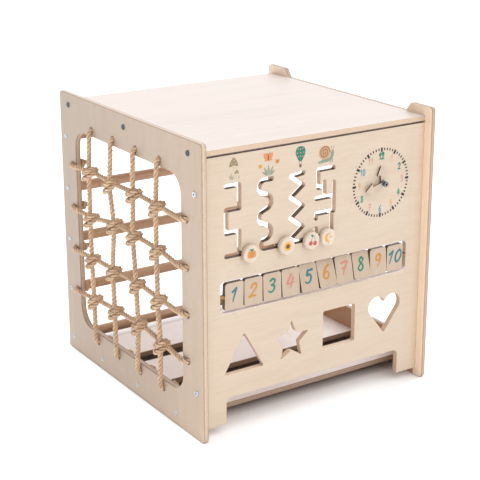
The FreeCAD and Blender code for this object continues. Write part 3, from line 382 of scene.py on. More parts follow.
inks = {
    "green": (0.018, 0.185, 0.11), "teal": (0.018, 0.145, 0.165), "blue": (0.10, 0.26, 0.33),
    "pink": (0.50, 0.20, 0.155), "orange": (0.47, 0.22, 0.028), "yellow": (0.55, 0.36, 0.13),
    "black": (0.012, 0.012, 0.014), "mint": (0.055, 0.25, 0.17), "salmon": (0.50, 0.28, 0.21),
    "olive": (0.24, 0.20, 0.11), "cream": (0.55, 0.45, 0.31), "greyGreen": (0.21, 0.25, 0.18),
    "rust": (0.60, 0.22, 0.07), "leaf": (0.018, 0.16, 0.11), "brown": (0.14, 0.06, 0.035),
    "tan": (0.46, 0.27, 0.14), "red": (0.42, 0.065, 0.055), "gold": (0.66, 0.34, 0.035),
    "blush": (0.62, 0.26, 0.19),
}


def inkMaterial(name, colour):
    material, nodes, links, shader = newMaterial(name, 0.55)
    place = nodes.new("ShaderNodeTexCoord").outputs["Object"]
    wear = stretched(nodes, links, place, (260, 260, 900), (1, 2, 3), 4, 0.6)
    pale = tuple(channel * 0.97 + 0.006 for channel in colour)
    links.new(ramp(nodes, links, wear, [(0.38, colour), (0.78, pale)]), shader.inputs["Base Color"])
    bump(nodes, links, shader, wear, 0.05, 0.0001)
    return material


inkMaterials = {name: inkMaterial("ink_" + name, colour) for name, colour in inks.items()}
beechMaterial = turnedMaterial("beech_dowel", beech, "x", 11)
steelMaterial = metalMaterial("zinc_steel", steel)
brassMaterial = metalMaterial("brass_rod", shadedBrass)
# each board's thickness axis, grain axis, seed and finish
boards = {
    "left_side_panel": ("x", "z", 21, paintedShadeNetSide), "right_side_panel": ("x", "z", 22, paintedLightOpenSide),
    "front_panel": ("y", "x", 23, frontWood), "top_board": ("z", "x", 24, paintedSheenTop),
    "floor_board_1": ("z", "x", 25, paintedSheenSlat), "floor_board_2": ("z", "x", 26, paintedSheenSlat),
    "floor_board_3": ("z", "x", 27, paintedSheenSlat),
}
fastenings = {"floor_board_dowels": beechMaterial, "number_rod": brassMaterial,
              "top_board_bolts": metalMaterial("blackened_steel", darkSteel),
              "clock_bolt": metalMaterial("clock_steel", headSteel)}


def finishOf(node):
    name = node + "_wood"
    number = int(node[-2:].strip("_")) if node[-1].isdigit() else 0
    if node in fastenings:
        return fastenings[node]
    if node in boards:
        return plywoodMaterial(name, *boards[node])
    if node.startswith("number_tile"):
        return plywoodMaterial(name, "y", "z", 30 + number, tileWood)
    if node.endswith("_hand"):
        return plywoodMaterial(name, "y", "z", 45 + len(node), handWood)
    if node.startswith("maze_knob"):
        return turnedMaterial(name, turnedWood, "z", 50 + number)
    if node.startswith("maze_peg"):
        return turnedMaterial(name, turnedWood, "y", 60 + number)
    if node.startswith("rung_") and number:
        return turnedMaterial(name, beech, "x", 70 + number)
    return steelMaterial


for node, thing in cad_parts.items():
    if not node.startswith("rope_"):  # the net's ropes are replaced below
        thing.data.materials.clear()
        thing.data.materials.append(finishOf(node))
print("wood and steel on the cube's boards, rungs, tiles, hands, knobs and bolts")

socket = {"depth": 0.25, "corners": 16,
          "across": {"top_board_bolts": 4.9, "front_panel_bolts": 4.9,
                     "rung_screws": 3.4, "floor_board_screws": 3.4}}


def headSpots(node):
    # where each head stands out of a side panel: its outermost x and its middle y, z
    heads = []
    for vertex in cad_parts[node].data.vertices:
        x, y, z = (vertex.co - Vector((cubeCorner.x, cubeCorner.y, 0))) * 1000
        if -0.5 < x < cubeWidth + 0.5:
            continue
        for head in heads:
            if (head[0] < 0) == (x < 0) and math.hypot(y - head[1][0], z - head[2][0]) < 20:
                break
        else:
            head = [x, [], []]
            heads.append(head)
        head[0] = min(head[0], x) if x < 0 else max(head[0], x)
        head[1].append(y)
        head[2].append(z)
    return [(x, (min(ys) + max(ys)) / 2, (min(zs) + max(zs)) / 2) for x, ys, zs in heads]


def darkSockets(node, across):
    # a black disc at the bottom of each head's socket: painted shade
    verts, faces = [], []
    corners = socket["corners"]
    for x, y, z in headSpots(node):
        deep = x + (socket["depth"] if x < 0 else -socket["depth"])
        base = len(verts)
        for turn in (2 * math.pi * step / corners for step in range(corners)):
            verts.append(tuple(spot(deep, y + across / 2 * math.cos(turn), z + across / 2 * math.sin(turn))))
        ring = tuple(range(base, base + corners))
        faces.append(ring if x > 0 else ring[::-1])
    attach(makeMesh("dark_sockets_" + node, verts, faces, [inkMaterials["black"]]), "cube")


for node, across in socket["across"].items():
    darkSockets(node, across)

rope = {"radius": 6.9, "lay": 36, "strandSize": 0.53, "step": 1.4, "sides": 12, "uneven": 0.35,
        "unevenSpots": 40, "stand": 7.5, "fold": 11.16, "foldRun": 24,
        "lowFold": 73, "highFold": 665, "frontFold": 69, "backFold": 662,
        "holeFrom": 9, "holeTo": 15, "pull": 0.75, "roundTip": 5}
stopper = {"reach": 7.4, "from": 21.5, "to": 31, "turns": 1.6, "bulge": 4, "tip": 46.5, "straight": 6,
           "steps": 40}
knot = {"radius": 13.2, "spread": 7.9, "tilt": 8.6, "over": 8.6, "overWidth": 0.85, "ends": 1.4, "steps": 72,
        "squeeze": 0.95, "squeezeFrom": 26, "squeezeFade": 8, "sway": 1.5}
fuzz = {"perMillimetre": 0.9, "length": 4.5, "width": 0.09, "root": 0.86, "rise": 0.62, "droop": 0.45}
# where each knot sits, row by row from the top; in a row from the back to the front: y, z
knots = [
    [(551, 549), (433, 545), (310, 549), (201, 543)],
    [(553, 421), (417, 442), (315, 437), (202, 431)],
    [(552, 306), (430, 309), (304, 312), (200, 303)],
    [(547, 191), (425, 200), (299, 203), (191, 189)],
]


def bend(corners, radius, step):
    # straight runs with a round bend at each corner
    points = [corners[0]]
    for before, corner, after in zip(corners, corners[1:], corners[2:]):
        come = (before - corner).normalized()
        leave = (after - corner).normalized()
        half = come.angle(leave) / 2
        trim = radius / math.tan(half)
        middle = corner + (come + leave).normalized() * (radius / math.sin(half))
        first = corner + come * trim - middle
        last = corner + leave * trim - middle
        turn = first.angle(last)
        count = max(3, int(radius * turn / step))
        points += [middle + first.slerp(last, index / count) * radius for index in range(count + 1)]
    points.append(corners[-1])
    return points


def ease(start, startWay, finish, finishWay, count):
    # a smooth run between two places that leaves and comes in along the given ways
    points = []
    for index in range(1, count):
        t = index / count
        points.append(start * (2 * t**3 - 3 * t**2 + 1) + startWay * (t**3 - 2 * t**2 + t)
                      + finish * (3 * t**2 - 2 * t**3) + finishWay * (t**3 - t**2))
    return points


def knotTurns(centre, variety):
    # two slanting turns round the upright rope; inside the net the strand between them crosses over both ends
    points = []
    spread = knot["spread"] * (1 + 0.10 * math.sin(5 * variety))
    tilt = knot["tilt"] * (1 + 0.18 * math.sin(3 * variety + 1))
    for index in range(knot["steps"] + 1):
        turn = 4 * math.pi * index / knot["steps"]
        ends = min(1, turn / knot["ends"], (4 * math.pi - turn) / knot["ends"])
        rise = np.interp(turn, [0, 0.5 * math.pi, 1.5 * math.pi, 2.5 * math.pi, 3.5 * math.pi, 4 * math.pi],
                         [0, spread, spread, -spread, -spread, 0])
        slope = tilt * ends * (math.sin(turn) * 0.55 + math.cos(turn) * 0.83)
        reach = knot["radius"] + knot["over"] * math.exp(-((turn - 2 * math.pi) / knot["overWidth"]) ** 2)
        points.append(centre + Vector((reach * math.cos(turn), -reach * math.sin(turn), rise + slope)))
    return points


def evenly(points, step):
    # the same line in even steps, smoothed a little
    path = np.array([tuple(point) for point in points], float)
    kernel = np.array([1, 4, 6, 4, 1]) / 16
    for sweep in range(2):
        gaps = np.linalg.norm(np.diff(path, axis=0), axis=1)
        path = path[np.concatenate([[True], gaps > 1e-6])]
        travel = np.concatenate([[0], np.cumsum(np.linalg.norm(np.diff(path, axis=0), axis=1))])
        marks = np.linspace(0, travel[-1], int(travel[-1] / step) + 1)
        path = np.stack([np.interp(marks, travel, path[:, axis]) for axis in range(3)], axis=1)
        if sweep == 0:
            for again in range(3):
                padded = np.concatenate([path[:1], path[:1], path, path[-1:], path[-1:]])
                path = np.stack([np.convolve(padded[:, axis], kernel, "valid") for axis in range(3)], axis=1)
    return path, marks


def carriedFrames(path):
    # the rope's way at each step, with two directions across it that don't twist
    ways = np.gradient(path, axis=0)
    ways /= np.linalg.norm(ways, axis=1)[:, None]
    first = np.cross(ways[0], [0.3, 0.5, 0.8])
    first /= np.linalg.norm(first)
    side = [first]
    for index in range(1, len(path)):
        turned = side[-1] - ways[index] * np.dot(side[-1], ways[index])
        side.append(turned / np.linalg.norm(turned))
    side = np.array(side)
    return ways, side, np.cross(ways, side)


def laidRope(name, points, swell, material, seed):
    # three strands laid round each other along the line
    path, marks = evenly(points, rope["step"])
    ways, side, up = carriedFrames(path)
    scale = swell(path, marks)
    rng = np.random.default_rng(seed)
    start = rng.uniform(0, 2 * math.pi)
    places = np.linspace(0, marks[-1], rope["unevenSpots"])
    uneven = np.interp(marks, places, rng.uniform(-rope["uneven"], rope["uneven"], rope["unevenSpots"]))
    verts, faces, marksUv, shade = [], [], [], []
    sides = rope["sides"]
    strand = rope["radius"] * rope["strandSize"]
    count = len(path)
    angles = np.arange(sides) * 2 * math.pi / sides
    # painted shade: each strand darkens on its side towards the rope's middle, where the strands meet
    grooveShadeMix = np.clip(0.05 + (0.5 + 0.5 * np.cos(angles)) * 1.5, 0, 1)
    for part in range(3):
        turn = 2 * math.pi * (marks / rope["lay"] + part / 3) + start + uneven
        out = np.cos(turn)[:, None] * side + np.sin(turn)[:, None] * up
        across = -np.sin(turn)[:, None] * side + np.cos(turn)[:, None] * up
        centre = path + out * ((rope["radius"] - strand) * scale)[:, None]
        loop = (np.cos(angles)[None, :, None] * out[:, None, :]
                + np.sin(angles)[None, :, None] * across[:, None, :])
        verts.append((centre[:, None, :] + loop * (strand * scale)[:, None, None]).reshape(-1, 3))
        rows = np.arange(count - 1)[:, None] * sides + part * count * sides
        columns = np.arange(sides)[None, :]
        after = (columns + 1) % sides
        quads = np.stack([rows + columns, rows + after, rows + sides + after, rows + sides + columns], axis=2)
        faces.append(quads.reshape(-1, 4)[:, ::-1])
        u = marks / 1000
        v = columns / sides
        corners = [np.stack(np.broadcast_arrays(along[:, None], v + around + part), axis=2)
                   for along, around in ((u[:-1], 0), (u[:-1], 1 / sides), (u[1:], 1 / sides), (u[1:], 0))]
        marksUv.append(np.stack(corners, axis=2).reshape(-1, 4, 2)[:, ::-1])
        shade.append(np.broadcast_to(grooveShadeMix[None, :], (count, sides)).reshape(-1))
    world = np.concatenate(verts) / 1000 + np.array([cubeCorner.x, cubeCorner.y, 0])
    thing = makeMesh(name, world.tolist(), np.concatenate(faces).tolist(), [material], smooth=True)
    layer = thing.data.uv_layers.new(name="along")
    layer.data.foreach_set("uv", np.concatenate(marksUv).reshape(-1).tolist())
    grooveShadeLayer = thing.data.color_attributes.new(name="grooveShade", type="FLOAT_COLOR", domain="POINT")
    values = np.concatenate(shade)
    tints = np.stack([values, values, values, np.ones_like(values)], axis=1)
    grooveShadeLayer.data.foreach_set("color", tints.reshape(-1).tolist())
    return thing, path, ways, side, up, scale


def looseFibres(name, path, ways, side, up, scale, material, seed):
    rng = np.random.default_rng(seed)
    verts, faces = [], []
    for hair in range(int(len(path) * rope["step"] * fuzz["perMillimetre"])):
        at = rng.integers(2, len(path) - 2)
        turn = rng.uniform(0, 2 * math.pi)
        out = math.cos(turn) * side[at] + math.sin(turn) * up[at]
        root = path[at] + out * rope["radius"] * fuzz["root"] * scale[at]
        lean = ways[at] * rng.uniform(-1.2, 1.2) + np.cross(ways[at], out) * rng.uniform(-0.9, 0.9)
        length = fuzz["length"] * rng.uniform(0.4, 1.1)
        flat = np.cross(out, lean)
        flat /= np.linalg.norm(flat) + 1e-9
        base = len(verts)
        for step in range(4):
            t = step / 3
            middle = root + (out * (t - fuzz["droop"] * t * t) * fuzz["rise"]
                             + lean * t * fuzz["rise"]) * length
            width = fuzz["width"] * (1 - 0.75 * t)
            verts += [middle - flat * width, middle + flat * width]
        faces += [(base + 2 * k, base + 2 * k + 1, base + 2 * k + 3, base + 2 * k + 2) for k in range(3)]
    world = np.array(verts) / 1000 + np.array([cubeCorner.x, cubeCorner.y, 0])
    return makeMesh(name, world.tolist(), faces, [material], smooth=True)


def stoppedEnd(place, fold):
    # from the tail's tip through the turns of the stopper knot to the hole
    points = [place(stopper["tip"], fold, 0), place(stopper["tip"] - stopper["straight"], fold, 0)]
    for index in range(stopper["steps"] + 1):
        t = index / stopper["steps"]
        turn = 2 * math.pi * stopper["turns"] * t
        reach = stopper["reach"] * min(1, 6 * t, 6 * (1 - t))
        inward = stopper["to"] + (stopper["from"] - stopper["to"]) * t + stopper["bulge"] * (1 - t) ** 4
        points.append(place(inward, fold + reach * math.sin(turn), reach * math.cos(turn)))
    return points + [place(rope["holeTo"], fold, 0)]


def swayOf(column):
    return knot["sway"] * math.cos(2.2 * column)


def turnedDown(place, fold, inward):
    # the fold over the hole's rim, onto the outer face
    stand = -rope["stand"]
    corners = [place(rope["holeFrom"], fold, 0), place(stand, fold, 0),
               place(stand, fold + rope["foldRun"] * inward, 0)]
    return bend(corners, rope["fold"], rope["step"])


def upright(column):
    rows = [row[3 - column] for row in reversed(knots)]
    holeY = sum(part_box("rope_vertical_%d" % (column + 1))[index].y for index in (0, 1)) / 2
    holeY = (holeY - cubeCorner.y) * 1000

    def place(x, reach, aside):
        return Vector((x, holeY + aside, reach))

    low, high = rope["lowFold"], rope["highFold"]
    points = stoppedEnd(place, low) + turnedDown(place, low, 1)
    stops = [points[-1]] + [Vector((-rope["stand"] + swayOf(column), y, z)) for y, z in rows]
    stops.append(place(-rope["stand"], high - rope["foldRun"], 0))
    for first, second in zip(stops, stops[1:]):
        way = Vector((0, 0, (second - first).length * rope["pull"]))
        points += ease(first, way, second, way, 30) + [second]
    return points + list(reversed(turnedDown(place, high, -1))) + list(reversed(stoppedEnd(place, high)))


def level(row):
    places = list(reversed(knots))[row]
    holeZ = sum(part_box("rope_horizontal_%d" % (row + 1))[index].z for index in (0, 1)) / 2 * 1000

    def place(x, reach, aside):
        return Vector((x, reach, holeZ + aside))

    back, front = rope["backFold"], rope["frontFold"]
    points = stoppedEnd(place, back) + turnedDown(place, back, -1)
    for index, (y, z) in enumerate(places):
        points += knotTurns(Vector((-rope["stand"] + swayOf(3 - index), y, z)), 4 * row + index)
    return points + list(reversed(turnedDown(place, front, 1))) + list(reversed(stoppedEnd(place, front)))


def swellBy(centres):
    # full size all along, a little squeezed in the knots, rounded off at both tips
    def swell(path, marks):
        scale = np.sqrt(np.clip(np.minimum(marks, marks[-1] - marks) / rope["roundTip"], 0.003, 1))
        for centre in centres:
            near = np.linalg.norm(path - np.array(centre), axis=1)
            tight = np.clip((knot["squeezeFrom"] - near) / knot["squeezeFade"], 0, 1)
            scale *= 1 - (1 - knot["squeeze"]) * tight
        return scale
    return swell


def netRope(kind, number, points, crossings, seed):
    material = ropeMaterial("jute_%s_%d" % (kind, number), seed)
    swell = swellBy([(-rope["stand"], y, z) for y, z in crossings])
    thing, *line = laidRope("net_rope_%s_%d" % (kind, number), points, swell, material, seed)
    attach(thing, "cube")
    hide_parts("rope_%s_%d" % (kind, number))
    hairs = looseFibres("net_fibres_%s_%d" % (kind, number), *line, material, seed)
    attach(hairs, "cube")


for index in range(4):
    netRope("vertical", index + 1, upright(index), [row[3 - index] for row in knots], 10 + index)
    netRope("horizontal", index + 1, level(index), knots[3 - index], 20 + index)
print("rope net laid and knotted")


def curve(points, closed=False, steps=7):
    # a smooth line through the points
    count = len(points)
    result = []
    pieces = count if closed else count - 1
    for index in range(pieces):
        if closed:
            four = [points[(index + shift) % count] for shift in (-1, 0, 1, 2)]
        else:
            four = [points[max(0, min(count - 1, index + shift))] for shift in (-1, 0, 1, 2)]
        for step in range(steps):
            t = step / steps
            result.append(tuple(0.5 * (2 * b + (c - a) * t + (2 * a - 5 * b + 4 * c - d) * t * t
                                       + (3 * b - a - 3 * c + d) * t**3)
                                for a, b, c, d in zip(*four)))
    if not closed:
        result.append(tuple(points[-1]))
    return result


def disc(x, z, radiusX, radiusZ=None):
    radiusZ = radiusZ or radiusX
    corners = 28
    turns = [2 * math.pi * index / corners for index in range(corners)]
    return [(x + radiusX * math.cos(turn), z + radiusZ * math.sin(turn)) for turn in turns]


def petal(x, z, length, width, lean):
    # a leaf shape from its root, pointing up and turned clockwise by lean
    tilt = math.radians(lean)
    shape = curve([(0, 0), (width * 0.42, length * 0.28), (width * 0.5, length * 0.55),
                   (width * 0.22, length * 0.86), (0, length),
                   (-width * 0.22, length * 0.86), (-width * 0.5, length * 0.55),
                   (-width * 0.42, length * 0.28)], True, 4)
    return [(x + a * math.cos(tilt) + b * math.sin(tilt), z - a * math.sin(tilt) + b * math.cos(tilt))
            for a, b in shape]


def brush(points, width, taper=0.45, smooth=True):
    # a painted line with round ends, thinner towards its end; neighbours in the strip share their corners
    line = curve(points) if smooth and len(points) > 2 else [tuple(point) for point in points]
    total = len(line) - 1
    left, right, halves, leans = [], [], [], []
    for index, (x, z) in enumerate(line):
        before, after = line[max(0, index - 1)], line[min(total, index + 1)]
        lean = math.atan2(after[1] - before[1], after[0] - before[0])
        half = width / 2 * (1 - taper * (index / total) ** 2)
        left.append((x - half * math.sin(lean), z + half * math.cos(lean)))
        right.append((x + half * math.sin(lean), z - half * math.cos(lean)))
        halves.append(half)
        leans.append(lean)
    shapes = [[left[index], right[index], right[index + 1], left[index + 1]] for index in range(total)]
    for (x, z), half, lean in ((line[0], halves[0], leans[0] + math.pi), (line[-1], halves[-1], leans[-1])):
        shapes.append([(x + half * math.cos(lean + turn), z + half * math.sin(lean + turn))
                       for turn in (math.pi * (step / 8 - 0.5) for step in range(9))])
    return shapes


digitStrokes = {
    "0": [[(0.52, 0.97), (0.24, 0.74), (0.18, 0.36), (0.40, 0.04), (0.70, 0.22), (0.80, 0.62), (0.62, 0.93),
           (0.50, 0.97)]],
    "1": [[(0.26, 0.74), (0.46, 0.86), (0.60, 0.98), (0.54, 0.60), (0.46, 0.03)]],
    "2": [[(0.20, 0.72), (0.34, 0.94), (0.64, 0.95), (0.74, 0.72), (0.54, 0.42), (0.16, 0.05)],
          [(0.16, 0.06), (0.46, 0.10), (0.84, 0.05)]],
    "3": [[(0.24, 0.86), (0.46, 0.98), (0.72, 0.84), (0.60, 0.60), (0.40, 0.54)],
          [(0.42, 0.55), (0.72, 0.44), (0.72, 0.16), (0.44, 0.02), (0.16, 0.14)]],
    "4": [[(0.46, 0.98), (0.30, 0.66), (0.14, 0.36), (0.48, 0.34), (0.88, 0.38)],
          [(0.72, 0.72), (0.64, 0.36), (0.58, 0.02)]],
    "5": [[(0.84, 0.95), (0.60, 0.92), (0.38, 0.93)],
          [(0.40, 0.93), (0.30, 0.58), (0.56, 0.62), (0.76, 0.42), (0.66, 0.12), (0.38, 0.02), (0.14, 0.14)]],
    "6": [[(0.70, 0.97), (0.42, 0.78), (0.22, 0.42), (0.24, 0.14), (0.48, 0.02), (0.72, 0.16), (0.70, 0.42),
           (0.48, 0.50), (0.27, 0.34)]],
    "7": [[(0.16, 0.90), (0.46, 0.93), (0.84, 0.94), (0.64, 0.58), (0.42, 0.02)],
          [(0.32, 0.48), (0.76, 0.52)]],
    "8": [[(0.70, 0.82), (0.48, 0.98), (0.28, 0.80), (0.44, 0.58), (0.68, 0.38), (0.66, 0.12), (0.42, 0.02),
           (0.20, 0.18), (0.34, 0.44), (0.58, 0.64), (0.72, 0.86)]],
    "9": [[(0.72, 0.78), (0.54, 0.97), (0.28, 0.86), (0.24, 0.62), (0.44, 0.50), (0.66, 0.62), (0.74, 0.84),
           (0.70, 0.44), (0.48, 0.02)]],
}


def numberShapes(text, x, z, height, width, stroke, slant=0.0):
    shapes = []
    advance = width * 0.86
    left = x - width / 2 - advance * (len(text) - 1) / 2
    for place, figure in enumerate(text):
        for line in digitStrokes[figure]:
            points = [(left + place * advance + (a + slant * (b - 0.5)) * width, z + (b - 0.5) * height)
                      for a, b in line]
            shapes += brush(points, stroke)
    return shapes


# the front's face, and how far off it the ink, each next layer and each next shape stand
prints = {"face": 23.5, "lift": 0.14, "layer": 0.05, "shape": 0.0015}


def printOn(name, colours, layers, body, y=prints["face"], lean=0.0, hinge=(0, 0)):
    # flat ink shapes on a face that looks to the front; lean turns them with a tilted tile
    verts, faces, picks = [], [], []
    tilt = math.radians(lean)
    for depth, (ink, shapes) in enumerate(layers):
        for order, shape in enumerate(shapes):
            base = len(verts)
            for x, z in shape:
                gap = y - prints["lift"] - depth * prints["layer"] - order * prints["shape"] - hinge[0]
                rise = z - hinge[1]
                verts.append(tuple(spot(x, hinge[0] + gap * math.cos(tilt) - rise * math.sin(tilt),
                                        hinge[1] + gap * math.sin(tilt) + rise * math.cos(tilt))))
            faces.append(tuple(range(base, len(verts))))
            picks.append(colours.index(ink))
    thing = makeMesh(name, verts, faces, [inkMaterials[ink] for ink in colours], picks)
    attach(thing, body)


tileNumber = {"height": 34, "width": 28, "stroke": 6.2, "slant": 0.22, "rise": 3, "halfTile": 6,
              "inks": ["teal", "orange", "green", "pink", "teal",
                       "orange", "pink", "green", "orange", "teal"]}


def frontFace(node):
    # the middle of a tile, and the lean of its largest face that looks to the front
    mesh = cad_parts[node].data
    faces = [face for face in mesh.polygons if face.normal.y < 0 and abs(face.normal.x) < 0.01]
    best = max(faces, key=lambda face: face.area)
    low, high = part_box(node)
    return (low + high) / 2, math.degrees(math.atan2(best.normal.z, -best.normal.y))


for index, ink in enumerate(tileNumber["inks"]):
    node = "number_tile_%d" % (index + 1)
    middle, lean = frontFace(node)
    centreX = (middle.x - cubeCorner.x) * 1000
    centreY = (middle.y - cubeCorner.y) * 1000
    centreZ = middle.z * 1000
    shapes = numberShapes(str(index + 1), centreX, centreZ + tileNumber["rise"], tileNumber["height"],
                          tileNumber["width"], tileNumber["stroke"], tileNumber["slant"])
    printOn("tile_figure_%d" % (index + 1), [ink], [(ink, shapes)], node,
            centreY - tileNumber["halfTile"], -lean, (centreY, centreZ))

# bars and ticks run from one radius to another, with a width
clockFace = {"x": 543.5, "z": 561.5, "bars": (79.5, 90.5, 6.2), "ticks": (83, 89.5, 3.5), "ring": 68.5,
             "height": 17, "width": 10, "stroke": 3.6, "boldTwelve": 1.45,
             "inks": ["green", "yellow", "teal", "salmon", "mint", "yellow",
                      "blue", "salmon", "mint", "yellow", "blue", "salmon"]}
ringX, ringZ = clockFace["x"], clockFace["z"]
marks = []
for minute in range(60):
    turn = math.radians(6 * minute)
    inner, outer, width = clockFace["bars"] if minute % 5 == 0 else clockFace["ticks"]
    out = (math.sin(turn), math.cos(turn))
    side = (math.cos(turn) * width / 2, -math.sin(turn) * width / 2)
    marks.append([(ringX + out[0] * reach + side[0] * sign, ringZ + out[1] * reach + side[1] * sign)
                  for reach, sign in ((inner, 1), (outer, 1), (outer, -1), (inner, -1))])
printOn("clock_ring", ["black"], [("black", marks)], "cube")
for hour, ink in enumerate(clockFace["inks"]):
    turn = math.radians(30 * hour)
    text = str(hour or 12)
    stroke = clockFace["stroke"] * (clockFace["boldTwelve"] if hour == 0 else 1)
    shapes = numberShapes(text, ringX + clockFace["ring"] * math.sin(turn),
                          ringZ + clockFace["ring"] * math.cos(turn),
                          clockFace["height"], clockFace["width"], stroke)
    printOn("clock_figure_" + text, [ink], [(ink, shapes)], "cube")

rodSleeve = {"radius": 6.2, "sides": 32, "runs": ((64.2, 77), (626.2, 634.4))}
rodLow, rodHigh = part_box("number_rod")
rodY, rodZ = ((rodLow.y + rodHigh.y) / 2 - cubeCorner.y) * 1000, (rodLow.z + rodHigh.z) * 500
sides = rodSleeve["sides"]
for index, (start, finish) in enumerate(rodSleeve["runs"]):
    around = [(rodY + rodSleeve["radius"] * math.cos(turn), rodZ + rodSleeve["radius"] * math.sin(turn))
              for turn in (2 * math.pi * step / sides for step in range(sides))]
    verts = [tuple(spot(x, y, z)) for x in (start, finish) for y, z in around]
    faces = [(k, (k + 1) % sides, sides + (k + 1) % sides, sides + k) for k in range(sides)]
    faces += [tuple(range(sides - 1, -1, -1)), tuple(range(sides, 2 * sides))]
    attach(makeMesh("rod_sleeve_%d" % (index + 1), verts, faces, [brassMaterial]), "cube")
print("numbers, clock ring and rod sleeves made")


def mushrooms(x, z):
    stemTall = curve([(x - 4, z), (x - 2.4, z + 16), (x - 3.2, z + 33), (x + 3.2, z + 33), (x + 2.4, z + 16),
                      (x + 4.6, z)], True)
    capTall = curve([(x - 11.5, z + 30), (x - 9.5, z + 41), (x, z + 52), (x + 9.5, z + 41),
                     (x + 11.5, z + 30), (x, z + 33)], True)
    stemShort = curve([(x + 6, z), (x + 7, z + 8), (x + 6.6, z + 13), (x + 10.4, z + 13), (x + 10, z + 8),
                       (x + 11, z)], True)
    capShort = curve([(x + 2.6, z + 12), (x + 4.4, z + 18), (x + 8.6, z + 21), (x + 12.6, z + 18),
                      (x + 14, z + 12), (x + 8.6, z + 13.4)], True)
    grass = [petal(x + shift, z - 1, length, 2.4, lean)
             for shift, length, lean in ((-8, 13, -22), (-6, 17, -6), (-4, 11, 12), (13, 9, 16))]
    return ["cream", "olive", "blush", "greyGreen"], [
        ("cream", [stemTall, stemShort]), ("greyGreen", grass), ("olive", [capTall, capShort]),
        ("blush", [disc(x - 5, z + 38, 1.7), disc(x + 1, z + 45, 2.0), disc(x + 5.6, z + 37, 1.6),
                   disc(x + 8.8, z + 16.5, 1.1)]),
        ("olive", brush([(x - 2, z + 28), (x, z + 27), (x + 2, z + 28)], 0.9))]


def butterfly(x, z, size, wing, spotInk, bodyInk):
    wings = []
    for side in (-1, 1):
        wings.append(petal(x, z, 1.0 * size, 0.80 * size, side * 52))
        wings.append(petal(x, z, 0.72 * size, 0.58 * size, side * 122))
    spots = [disc(x + side * 0.52 * size, z + 0.40 * size, 0.09 * size) for side in (-1, 1)]
    spots += [disc(x + side * 0.36 * size, z - 0.24 * size, 0.07 * size) for side in (-1, 1)]
    core = [disc(x, z - 0.02 * size, 0.07 * size, 0.40 * size)]
    for side in (-1, 1):
        core += brush([(x, z + 0.34 * size), (x + side * 0.12 * size, z + 0.58 * size),
                       (x + side * 0.26 * size, z + 0.68 * size)], 0.05 * size, 0.2)
    return [(wing, wings), (spotInk, spots), (bodyInk, core)]


def butterfliesAndLeaves(x, z):
    leaves = [petal(x + shift, z, length, width, lean) for shift, length, width, lean in
              ((0, 27, 6, -4), (2, 24, 6, 24), (-2, 25, 6, -30), (3, 19, 5, 52), (-3, 20, 5, -56))]
    veins = []
    for shift, length, lean in ((0, 22, -4), (2, 19, 24), (-2, 20, -30)):
        tilt = math.radians(lean)
        veins += brush([(x + shift, z + 2),
                        (x + shift + length * math.sin(tilt), z + length * math.cos(tilt))], 0.7, 0.3, False)
    layers = [("greyGreen", leaves), ("cream", veins)]
    layers += butterfly(x - 2, z + 43, 17, "rust", "gold", "black")
    layers += butterfly(x + 24, z + 30, 8, "rust", "cream", "black")
    layers += butterfly(x - 25, z + 24, 7, "gold", "black", "black")
    return ["greyGreen", "cream", "rust", "gold", "black"], layers


def balloon(x, z):
    envelope = curve([(x, z + 52), (x - 11, z + 48), (x - 14.5, z + 36), (x - 9, z + 23), (x - 3.4, z + 15.5),
                      (x + 3.4, z + 15.5), (x + 9, z + 23), (x + 14.5, z + 36), (x + 11, z + 48)], True)
    bands = []
    for side in (-1, 1):
        bands += brush([(x + side * 1.5, z + 51), (x + side * 8, z + 40), (x + side * 5.4, z + 25),
                        (x + side * 1.6, z + 16)], 0.8, 0.1)
    dots = [disc(x + a, z + b, 1.5) for a, b in ((0, 45), (0, 36), (0, 27), (-9.8, 36), (9.8, 36), (-6.8, 46),
                                                 (6.8, 46), (-6.6, 26.5), (6.6, 26.5))]
    ropes = (brush([(x - 3, z + 16), (x - 2.6, z + 7)], 0.7, 0, False)
             + brush([(x + 3, z + 16), (x + 2.6, z + 7)], 0.7, 0, False))
    basket = [[(x - 3.6, z + 7.5), (x - 2.8, z), (x + 2.8, z), (x + 3.6, z + 7.5)]]
    return ["leaf", "green", "blush", "brown"], [("leaf", [envelope]), ("brown", ropes + basket),
                                                 ("green", bands), ("blush", dots)]


def snail(x, z):
    slug = curve([(x - 21, z + 2), (x - 12, z + 7), (x + 4, z + 9), (x + 13, z + 14), (x + 15, z + 25),
                  (x + 20, z + 29), (x + 24, z + 24), (x + 22, z + 12), (x + 15, z + 3), (x, z),
                  (x - 14, z)], True)
    horns = (brush([(x + 18, z + 27), (x + 16, z + 36)], 1.3, 0.1, False)
             + brush([(x + 21, z + 27), (x + 23, z + 36)], 1.3, 0.1, False))
    horns += [disc(x + 16, z + 37, 1.5), disc(x + 23, z + 37, 1.5)]
    spiral = [(x - 4 + reach * math.cos(turn), z + 25 + reach * math.sin(turn))
              for turn, reach in ((0.5 * step, 15.5 - 0.52 * step) for step in range(28))]
    blades = [petal(x + shift, z - 3, length, 3, lean)
              for shift, length, lean in ((-18, 12, -30), (-14, 9, 8), (12, 8, 30), (19, 10, 12))]
    return ["tan", "brown", "greyGreen", "gold"], [("greyGreen", [slug] + horns + blades),
                                                   ("tan", [disc(x - 4, z + 25, 17.5)]),
                                                   ("brown", brush(spiral, 1.7, 0.3)),
                                                   ("gold", [disc(x + 20.5, z + 24.5, 0.9)])]


